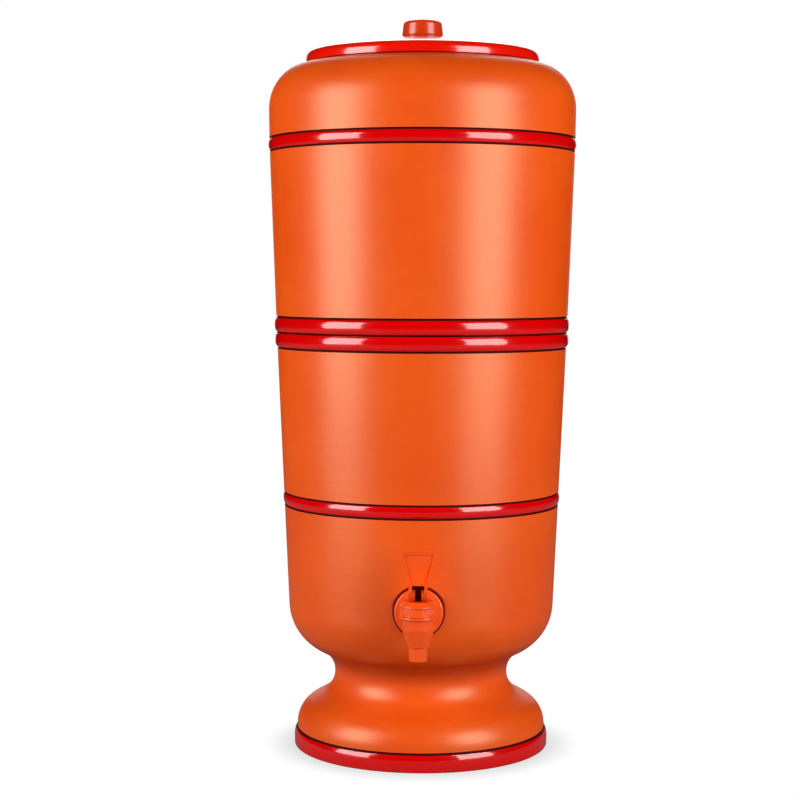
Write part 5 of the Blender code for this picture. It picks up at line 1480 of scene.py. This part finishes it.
class FilterTapLever(bpy.types.Operator):
    """Fork lever: a paddle with a raised rim over two cam feet"""

    bl_idname = "water_filter.tap_lever"
    bl_label = "Tap Lever"

    def execute(self, context):
        settings = context.scene.filter_tap
        pivot = (0, SPOUT_Y, PIVOT_HEIGHT)
        front = LEVER_BACK - LEVER_PADDLE_THICKNESS
        top = HEAD_ROOM + LEVER_PADDLE_HEIGHT
        piece = plate("fork_lever", self.cam_outline(), LEVER_FOOT_WIDTH, pivot, SIDE_VIEW)
        outline = self.paddle_outline(HEAD_ROOM, top, 0, LEVER_CORNER_ROUND)
        middle = (0, SPOUT_Y + LEVER_BACK - LEVER_PADDLE_THICKNESS / 2, PIVOT_HEIGHT)
        join(piece, plate("paddle", outline, LEVER_PADDLE_THICKNESS, middle, FRONT_VIEW))
        bottom = HEAD_ROOM + LEVER_SILL_WIDTH
        inner_top = top - LEVER_RIM_WIDTH
        outline = self.paddle_outline(
            bottom, inner_top, LEVER_RIM_WIDTH, LEVER_CORNER_ROUND / 2
        )
        depth = 2 * OVERRUN
        place = (0, SPOUT_Y + front + LEVER_RECESS_DEPTH - depth / 2, PIVOT_HEIGHT)
        cut(piece, plate("recess", outline, depth, place, FRONT_VIEW))
        window = self.window_outline()
        cut(piece, plate("window", window, SPOUT_REACH, pivot, FRONT_VIEW))
        hole = PIVOT_RADIUS + GAP
        end = PIVOT_WIDTH / 2 + GAP
        cut(piece, rod("pivot_hole", hole, -end, end, SMALL_SIDES, pivot, ACROSS))
        soften(piece, LEVER_EDGE, 3, 30)
        dress(piece, tap_plastic(settings), "lever", "tap_lever")
        return {"FINISHED"}

    def cam_outline(self):
        """Side view of the feet, whose front keeps touching the cap as the lever swings."""
        rise = STEM_LIFT / LEVER_SWING
        foot = PIVOT_RISE - GAP
        points = [(LEVER_BACK, LEVER_ROOT_HEIGHT), (LEVER_BACK, -foot)]
        for step in range(CAM_STEPS + 1):
            swing = LEVER_SWING * step / CAM_STEPS
            reach = foot + rise * swing
            across = -reach * math.sin(swing) - rise * math.cos(swing)
            up = -reach * math.cos(swing) + rise * math.sin(swing)
            points.append((across, up))
        nose, chin = points[-1]
        front = LEVER_BACK - LEVER_PADDLE_THICKNESS
        points += [
            (nose + LEVER_NOSE_ROUND, chin + LEVER_NOSE_ROUND), (front, LEVER_BROW_HEIGHT),
            (front, LEVER_ROOT_HEIGHT),
        ]
        return points

    def paddle_outline(self, bottom, top, inset, rounding):
        slope = (LEVER_TOP_WIDTH - LEVER_FOOT_WIDTH) / 2 / LEVER_PADDLE_HEIGHT
        low = LEVER_FOOT_WIDTH / 2 + slope * (bottom - HEAD_ROOM) - inset
        high = LEVER_FOOT_WIDTH / 2 + slope * (top - HEAD_ROOM) - inset
        corners = [(-low, bottom, 0), (low, bottom, 0)]
        corners += [(high, top, rounding), (-high, top, rounding)]
        return rounded_loop(corners)

    def window_outline(self):
        """The gap between the feet, wider for the stem's head."""
        window = STEM_HEAD_WIDTH / 2 + GAP
        slot = BLADE_WIDTH / 2 + GAP
        ledge = -HEAD_RADIUS - GAP
        below = -PIVOT_RISE - OVERRUN
        return [
            (-slot, below), (slot, below), (slot, ledge), (window, ledge), (window, HEAD_ROOM),
            (-window, HEAD_ROOM), (-window, ledge), (-slot, ledge),
        ]


# Candles and float valves


def candle_matrix(spacing):
    """The first candle's axis, turned so that its arm points at the tap."""
    return Matrix.Translation((-spacing / 2, AXIS_Y, 0)) @ Matrix.Rotation(-QUARTER, 4, "Z")


class FilterCandles(bpy.types.Operator):
    """Ceramic candles with their cups, washers and wing nuts"""

    bl_idname = "water_filter.candles"
    bl_label = "Candles"

    def execute(self, context):
        settings = context.scene.filter_candles
        white = finish("white", white_plastic, settings)
        ceramic = finish("ceramic", candle_ceramic, settings)
        makers = [
            ("ceramic_dome", self.ceramic, ceramic, "candle_ceramic"),
            ("candle_cup", self.cup, white, "candle_base"),
            ("candle_washer", self.washer, finish("silicone", clear_silicone), "candle_gasket"),
            ("wing_nut", self.wing_nut, white, "candle_wing_nut"),
        ]
        for name, make, material, node in makers:
            piece = in_place(make(f"{name}_1"), candle_matrix(settings.spacing))
            dress(piece, material, "upper_vessel", f"{node}_1")
            copy_across(piece, f"{name}_2", "upper_vessel", f"{node}_2")
        for number in (1, 2):
            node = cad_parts[f"candle_carbon_{number}"]
            node.data.materials.clear()
            node.data.materials.append(finish("carbon", carbon_grains))
        return {"FINISHED"}

    def ceramic(self, name):
        shoulder = CANDLE_BOTTOM + CANDLE_HEIGHT - CANDLE_DOME_HEIGHT
        inner = CANDLE_RADIUS - CANDLE_WALL
        outline = ellipse((0, shoulder), (CANDLE_RADIUS, CANDLE_DOME_HEIGHT), 90, 0)
        outline[0] = (0, shoulder + CANDLE_DOME_HEIGHT)
        outline += rounded([
            (CANDLE_RADIUS, shoulder, 0), (CANDLE_RADIUS, CANDLE_BOTTOM, CUP_ROUND),
            (inner, CANDLE_BOTTOM, CUP_ROUND), (inner, shoulder, 0),
        ])[1:-1]
        inside = ellipse((0, shoulder), (inner, CANDLE_DOME_HEIGHT - CANDLE_WALL), 0, 90)
        inside[-1] = (0, shoulder + CANDLE_DOME_HEIGHT - CANDLE_WALL)
        return turned(name, outline + inside, TAP_SIDES)

    def cup(self, name):
        inner = CANDLE_RADIUS + GAP
        floor = CUP_BOTTOM + CUP_FLOOR
        corners = [
            (inner, CUP_BOTTOM + CUP_RIM, 0), (CUP_RADIUS, CUP_BOTTOM + CUP_RIM, CUP_ROUND),
            (CUP_RADIUS, CUP_BOTTOM, CUP_ROUND), (STEM_TUBE_RADIUS, CUP_BOTTOM, 0),
            (STEM_TUBE_RADIUS, STEM_TUBE_BOTTOM, CUP_ROUND), (STEM_TUBE_BORE, STEM_TUBE_BOTTOM, 0),
            (STEM_TUBE_BORE, floor, 0), (inner, floor, 0),
        ]
        piece = turned(name, rounded_loop(corners), POINTS_PER_GRIP * CUP_GRIPS, closed=True)
        press_grips(piece, CUP_RADIUS, CUP_GRIPS, (0,), -CUP_GRIP_DEPTH)
        return piece

    def washer(self, name):
        high = CANDLE_GASKET_BOTTOM + CANDLE_GASKET_THICKNESS
        hole = STEM_TUBE_RADIUS + GAP
        return ring(name, CANDLE_GASKET_RADIUS, hole, CANDLE_GASKET_BOTTOM, high)

    def wing_nut(self, name):
        corners = [
            (0, WING_NUT_TOP, 0), (WING_NUT_RADIUS, WING_NUT_TOP, MOULDED_EDGE),
            (WING_NUT_RADIUS - MOULDED_EDGE, WING_NUT_BOTTOM, CUP_ROUND), (0, WING_NUT_BOTTOM, 0),
        ]
        piece = turned(name, rounded(corners), TAP_SIDES)
        middle = (0, 0, (WING_NUT_BOTTOM + WING_NUT_TOP) / 2)
        height = WING_NUT_HEIGHT - 2 * WING_MARGIN
        wings = rectangle(WING_SPAN, height, WING_ROUND)
        join(piece, plate("wings", wings, WING_THICKNESS, middle, FRONT_VIEW))
        soften(piece, MOULDED_EDGE, 2)
        low, high = WING_NUT_BOTTOM - OVERRUN, WING_NUT_TOP + OVERRUN
        return cut(piece, rod("bore", STEM_TUBE_RADIUS + GAP, low, high, SMALL_SIDES))


class FilterFloatValves(bpy.types.Operator):
    """Float valves under the candles"""

    bl_idname = "water_filter.float_valves"
    bl_label = "Float Valves"

    def execute(self, context):
        candles = context.scene.filter_candles
        white = finish("white", white_plastic, candles)
        steel = finish("steel", drawn_steel)
        rubber = finish("pad", dark_rubber, "valve_pad_rubber", context.scene.filter_tap.stem)
        axis = candle_matrix(candles.spacing)
        hinge = Matrix.Translation((-HINGE_OFFSET, 0, HINGE_HEIGHT))
        hinge = axis @ hinge @ Euler((0, FLOAT_DROP, 0)).to_matrix().to_4x4()
        makers = [
            ("valve_socket", self.socket, axis, white, "float_valve_body", "upper_vessel"),
            ("hinge_pin", self.pin, axis, steel, "float_hinge_pin", "upper_vessel"),
            ("swing_arm", self.arm, hinge, white, "float_arm", "float_1"),
            ("valve_pad", self.pad, hinge, rubber, "float_valve_pad", "float_1"),
            ("float_lid", self.cap, hinge, white, "float_cap", "float_1"),
            ("float_bowl", self.bowl, hinge, white, "float_cup", "float_1"),
        ]
        for name, make, matrix, material, node, body in makers:
            piece = in_place(make(f"{name}_1"), matrix)
            dress(piece, material, body, f"{node}_1")
            copy_across(piece, f"{name}_2", body.replace("_1", "_2"), f"{node}_2")
        return {"FINISHED"}

    def socket(self, name):
        bore = STEM_TUBE_RADIUS + GAP
        corners = [
            (bore, VALVE_TOP, 0), (VALVE_RADIUS, VALVE_TOP, MOULDED_EDGE),
            (VALVE_RADIUS, VALVE_BOTTOM, MOULDED_EDGE), (NIPPLE_RADIUS, VALVE_BOTTOM, 0),
            (NIPPLE_RADIUS, NIPPLE_BOTTOM, MOULDED_EDGE),
            (VALVE_BORE_RADIUS, NIPPLE_BOTTOM, MOULDED_EDGE),
            (VALVE_BORE_RADIUS, VALVE_SOCKET_FLOOR, 0), (bore, VALVE_SOCKET_FLOOR, 0),
        ]
        piece = turned(name, rounded_loop(corners), SMALL_SIDES, closed=True)
        slot_width = ARM_WIDTH + 2 * GAP
        lug_width = slot_width + 2 * LUG_WALL
        join(piece, plate("lug", self.lug_outline(), lug_width, turn=FRONT_VIEW))
        roof = HINGE_HEIGHT + TAIL_STOP
        floor = HINGE_HEIGHT - LUG_RADIUS - OVERRUN
        slot = rectangle(2 * (LUG_RADIUS + OVERRUN), roof - floor)
        place = (-HINGE_OFFSET, 0, (roof + floor) / 2)
        cut(piece, plate("slot", slot, slot_width, place, FRONT_VIEW))
        place = (-HINGE_OFFSET, 0, HINGE_HEIGHT)
        cut(piece, rod("hole", PIN_RADIUS + GAP, -lug_width, lug_width, SMALL_SIDES, place, ALONG))
        return soften(piece, MOULDED_EDGE / 2, 2)

    def lug_outline(self):
        top = VALVE_BOTTOM + LUG_RISE
        foot = VALVE_BOTTOM + LUG_FOOT_RISE
        outline = arc((-HINGE_OFFSET, HINGE_HEIGHT), LUG_RADIUS, 180, 360)
        outline += [(LUG_RADIUS - HINGE_OFFSET, foot), (-LUG_INNER, foot), (-LUG_INNER, top)]
        outline.append((-HINGE_OFFSET - LUG_RADIUS, top))
        return outline

    def pin(self, name):
        half = PIN_LENGTH / 2
        corners = [
            (0, half, 0), (PIN_RADIUS, half, GAP), (PIN_RADIUS, -half, GAP), (0, -half, 0),
        ]
        place = (-HINGE_OFFSET, 0, HINGE_HEIGHT)
        return turned(name, rounded(corners), SMALL_SIDES, place, ALONG)

    def arm(self, name):
        half = ARM_BAR_WIDTH / 2
        waist = math.degrees(math.asin(half / ARM_EYE_RADIUS))
        outline = [(-ARM_TAIL, half), (-ARM_TAIL, -half)]
        outline += arc((ARM_END, 0), ARM_EYE_RADIUS, waist - 180, 180 - waist, 3 * CURVE_STEPS)
        middle = (0, 0, (ARM_TOP + ARM_BOTTOM) / 2)
        piece = plate(name, outline, ARM_HEIGHT, middle)
        half = ARM_WIDTH / 2
        join(piece, rod("knuckle", LUG_RADIUS - GAP, -half, half, SMALL_SIDES, turn=ALONG))
        low, high = ARM_BOTTOM - OVERRUN, ARM_TOP + OVERRUN
        hole = PIN_RADIUS + GAP
        cut(piece, rod("pin_hole", hole, -ARM_WIDTH, ARM_WIDTH, SMALL_SIDES, turn=ALONG))
        cut(piece, rod("stud_hole", STUD_RADIUS + GAP, low, high, SMALL_SIDES, (ARM_END, 0, 0)))
        floor = ARM_TOP - PAD_SINK - GAP
        cut(piece, rod("pocket", PAD_RADIUS + GAP, floor, high, SMALL_SIDES, (HINGE_OFFSET, 0, 0)))
        return soften(piece, MOULDED_EDGE / 2, 2)

    def pad(self, name):
        low = ARM_TOP - PAD_SINK
        high = low + PAD_THICKNESS
        corners = [
            (0, high, 0), (PAD_RADIUS, high, GAP), (PAD_RADIUS, low, GAP), (0, low, 0),
        ]
        return turned(name, rounded(corners), SMALL_SIDES, (HINGE_OFFSET, 0, 0))

    def cap(self, name):
        top = ARM_BOTTOM - GAP
        bottom = top - FLOAT_WALL
        shoulder = ARM_TOP + GAP
        plug = FLOAT_RADIUS - FLOAT_WALL - GAP
        corners = [
            (0, shoulder + STUD_HEAD_HEIGHT, 0), (STUD_RADIUS, shoulder + STUD_HEAD_HEIGHT, GAP),
            (STUD_HEAD_RADIUS, shoulder + GAP, 0), (STUD_HEAD_RADIUS, shoulder, 0),
            (STUD_RADIUS, shoulder, 0), (STUD_RADIUS, top, 0), (FLOAT_RADIUS, top, MOULDED_EDGE),
            (FLOAT_RADIUS, bottom, 0), (plug, bottom, 0),
            (plug, bottom - FLOAT_WALL, MOULDED_EDGE), (0, bottom - FLOAT_WALL, 0),
        ]
        return turned(name, rounded(corners), TAP_SIDES, (ARM_END, 0, 0))

    def bowl(self, name):
        top = ARM_BOTTOM - 2 * GAP - FLOAT_WALL
        bottom = top - FLOAT_HEIGHT
        inner = FLOAT_RADIUS - FLOAT_WALL
        floor = bottom + FLOAT_WALL
        corners = [
            (0, floor, 0), (inner, floor, FLOAT_ROUND - FLOAT_WALL), (inner, top, 0),
            (FLOAT_RADIUS, top, 0), (FLOAT_RADIUS, bottom, FLOAT_ROUND), (0, bottom, 0),
        ]
        return turned(name, rounded(corners, 2 * EDGE_STEPS), TAP_SIDES, (ARM_END, 0, 0))


# Stage


class FilterStage(bpy.types.Operator):
    """Floor, light and camera"""

    bl_idname = "water_filter.stage"
    bl_label = "Stage"

    def execute(self, context):
        settings = context.scene.filter_stage
        context.scene.view_settings.view_transform = "Standard"
        self.add_floor()
        self.add_curtain()
        self.light_the_world(settings)
        power = settings.lamp_power
        self.add_soft_box("soft_box_left", -61, *FRONT_LAMP, power)
        self.add_soft_box("soft_box_right", 50, *FRONT_LAMP, power)
        self.add_soft_box("soft_box_back", 180, *BACK_LAMP, power / 3)
        self.add_camera(context, settings)
        return {"FINISHED"}

    def add_floor(self):
        """A pale floor that fades into the white surroundings and keeps the shadow."""
        bpy.ops.object.select_all(action="DESELECT")
        sizes = {"vertices": STAGE_SIDES, "radius": FLOOR_RADIUS}
        bpy.ops.mesh.primitive_circle_add(fill_type="NGON", **sizes)
        floor = bpy.context.object
        floor.name = "studio_floor"
        recipe = Recipe("studio_floor", Base_Color=srgb(124, 124, 124), Roughness=0.9)
        place = {0: recipe.place()}
        distance = recipe.node("ShaderNodeVectorMath", {"operation": "LENGTH"}, place, "Value")
        near = recipe.ramp(distance / FLOOR_FADE, [(0.087, 0.68), (0.111, 1.0)])
        seen = recipe.node("ShaderNodeLightPath", {}, {}, "Is Camera Ray")
        grey = Value(recipe, recipe.shader.outputs[0])
        white = recipe.node("ShaderNodeEmission", {}, {})
        mixed = recipe.node("ShaderNodeMixShader", {}, {0: near * seen, 1: grey, 2: white})
        output = recipe.tree.nodes["Material Output"]
        recipe.tree.links.new(mixed.socket, output.inputs["Surface"])
        floor.data.materials.append(recipe.material)

    def add_curtain(self):
        """A dark curtain round the object, open behind it, that only reflections show."""
        heights = (0, CURTAIN_OPENING_HEIGHT, CURTAIN_HEIGHT)
        outline = [(CURTAIN_RADIUS, height) for height in heights] + [(0, CURTAIN_HEIGHT)]
        curtain = turned("studio_curtain", outline, STAGE_SIDES, (0, AXIS_Y, 0))
        curtain.visible_camera = False
        curtain.visible_diffuse = False
        curtain.visible_shadow = False

        def behind(place, face):
            return place.y > CURTAIN_OPENING_START and place.z < CURTAIN_OPENING_HEIGHT

        pick(curtain, behind)
        bpy.ops.mesh.delete(type="FACE")
        leave()
        recipe = Recipe("studio_curtain", Roughness=1.0, Specular_IOR_Level=0.0)
        folds = recipe.noise(1.0, 2.0, 0.5, (9.0, 9.0, 0.3))
        recipe.feed("Base Color", recipe.blend(folds, srgb(14, 14, 15), srgb(34, 34, 36)))
        curtain.data.materials.append(recipe.material)

    def light_the_world(self, settings):
        """White to the eye and in reflections, a plain even fill for the rest."""
        world = bpy.data.worlds.new("studio_world")
        bpy.context.scene.world = world
        world.use_nodes = True
        nodes = Nodes(world.node_tree)
        kinds = ("Is Camera Ray", "Is Glossy Ray", "Is Transmission Ray")
        eye, gloss, clear = [nodes.node("ShaderNodeLightPath", {}, {}, kind) for kind in kinds]
        seen = eye.sum("MAXIMUM", eye, gloss.sum("MAXIMUM", gloss, clear))
        strength = settings.fill + seen * (1 - settings.fill)
        background = nodes.tree.nodes["Background"]
        background.inputs["Color"].default_value = (1, 1, 1, 1)
        nodes.tree.links.new(strength.socket, background.inputs["Strength"])

    def add_soft_box(self, name, side, height, size, power):
        """A soft box at an angle in degrees from the camera's side of the axis."""
        across = LAMP_REACH * math.sin(math.radians(side))
        ahead = LAMP_REACH * math.cos(math.radians(side))
        place = Vector((across, AXIS_Y - ahead, height))
        bpy.ops.object.light_add(type="AREA", location=place)
        lamp = bpy.context.object
        lamp.name = name
        lamp.data.shape = "RECTANGLE"
        lamp.data.size, lamp.data.size_y = size
        lamp.data.energy = power
        aim = Vector((0, AXIS_Y, LAMP_AIM_HEIGHT)) - place
        lamp.rotation_euler = aim.to_track_quat("-Z", "Y").to_euler()

    def add_camera(self, context, settings):
        across = settings.camera_distance * math.sin(CAMERA_SIDE)
        ahead = settings.camera_distance * math.cos(CAMERA_SIDE)
        place = (across, AXIS_Y - ahead, settings.camera_height)
        turn = (QUARTER - CAMERA_TILT, CAMERA_ROLL, CAMERA_SIDE + CAMERA_PAN)
        bpy.ops.object.camera_add(location=place, rotation=turn)
        camera = bpy.context.object
        camera.name = "studio_camera"
        camera.data.lens = settings.lens
        camera.data.sensor_width = SENSOR_WIDTH
        context.scene.camera = camera


class FilterPanel(bpy.types.Panel):
    """Pieces of the water filter"""

    bl_idname = "VIEW3D_PT_water_filter"
    bl_label = "Clay Water Filter"
    bl_space_type = "VIEW_3D"
    bl_region_type = "UI"
    bl_category = "Water Filter"

    def draw(self, context):
        layout = self.layout
        for operator in OPERATORS:
            layout.operator(operator.bl_idname)
        for group in SETTINGS:
            settings = getattr(context.scene, group)
            box = layout.box()
            for name in settings.bl_rna.properties.keys():
                if name not in ("rna_type", "name"):
                    box.prop(settings, name)


OPERATORS = [
    FilterLowerReservoir,
    FilterUpperReservoir,
    FilterCover,
    FilterTapBody,
    FilterTapCap,
    FilterTapWashers,
    FilterTapStem,
    FilterTapSpring,
    FilterTapLever,
    FilterCandles,
    FilterFloatValves,
    FilterStage,
]
SETTINGS = {
    "filter_vessel": FilterVesselSettings,
    "filter_tap": FilterTapSettings,
    "filter_candles": FilterCandleSettings,
    "filter_stage": FilterStageSettings,
}


def register():
    for group in SETTINGS.values():
        bpy.utils.register_class(group)
    for operator in OPERATORS:
        bpy.utils.register_class(operator)
    bpy.utils.register_class(FilterPanel)
    for name, group in SETTINGS.items():
        setattr(bpy.types.Scene, name, bpy.props.PointerProperty(type=group))


def unregister():
    for name in SETTINGS:
        delattr(bpy.types.Scene, name)
    bpy.utils.unregister_class(FilterPanel)
    for operator in reversed(OPERATORS):
        bpy.utils.unregister_class(operator)
    for group in SETTINGS.values():
        bpy.utils.unregister_class(group)


def main():
    register()
    bpy.ops.water_filter.stage()
    bpy.ops.water_filter.lower_reservoir()
    bpy.ops.water_filter.upper_reservoir()
    bpy.ops.water_filter.cover()
    bpy.ops.water_filter.tap_body()
    bpy.ops.water_filter.tap_cap()
    bpy.ops.water_filter.tap_washers()
    bpy.ops.water_filter.tap_stem()
    bpy.ops.water_filter.tap_spring()
    bpy.ops.water_filter.tap_lever()
    bpy.ops.water_filter.candles()
    bpy.ops.water_filter.float_valves()


if __name__ == "__main__":
    main()
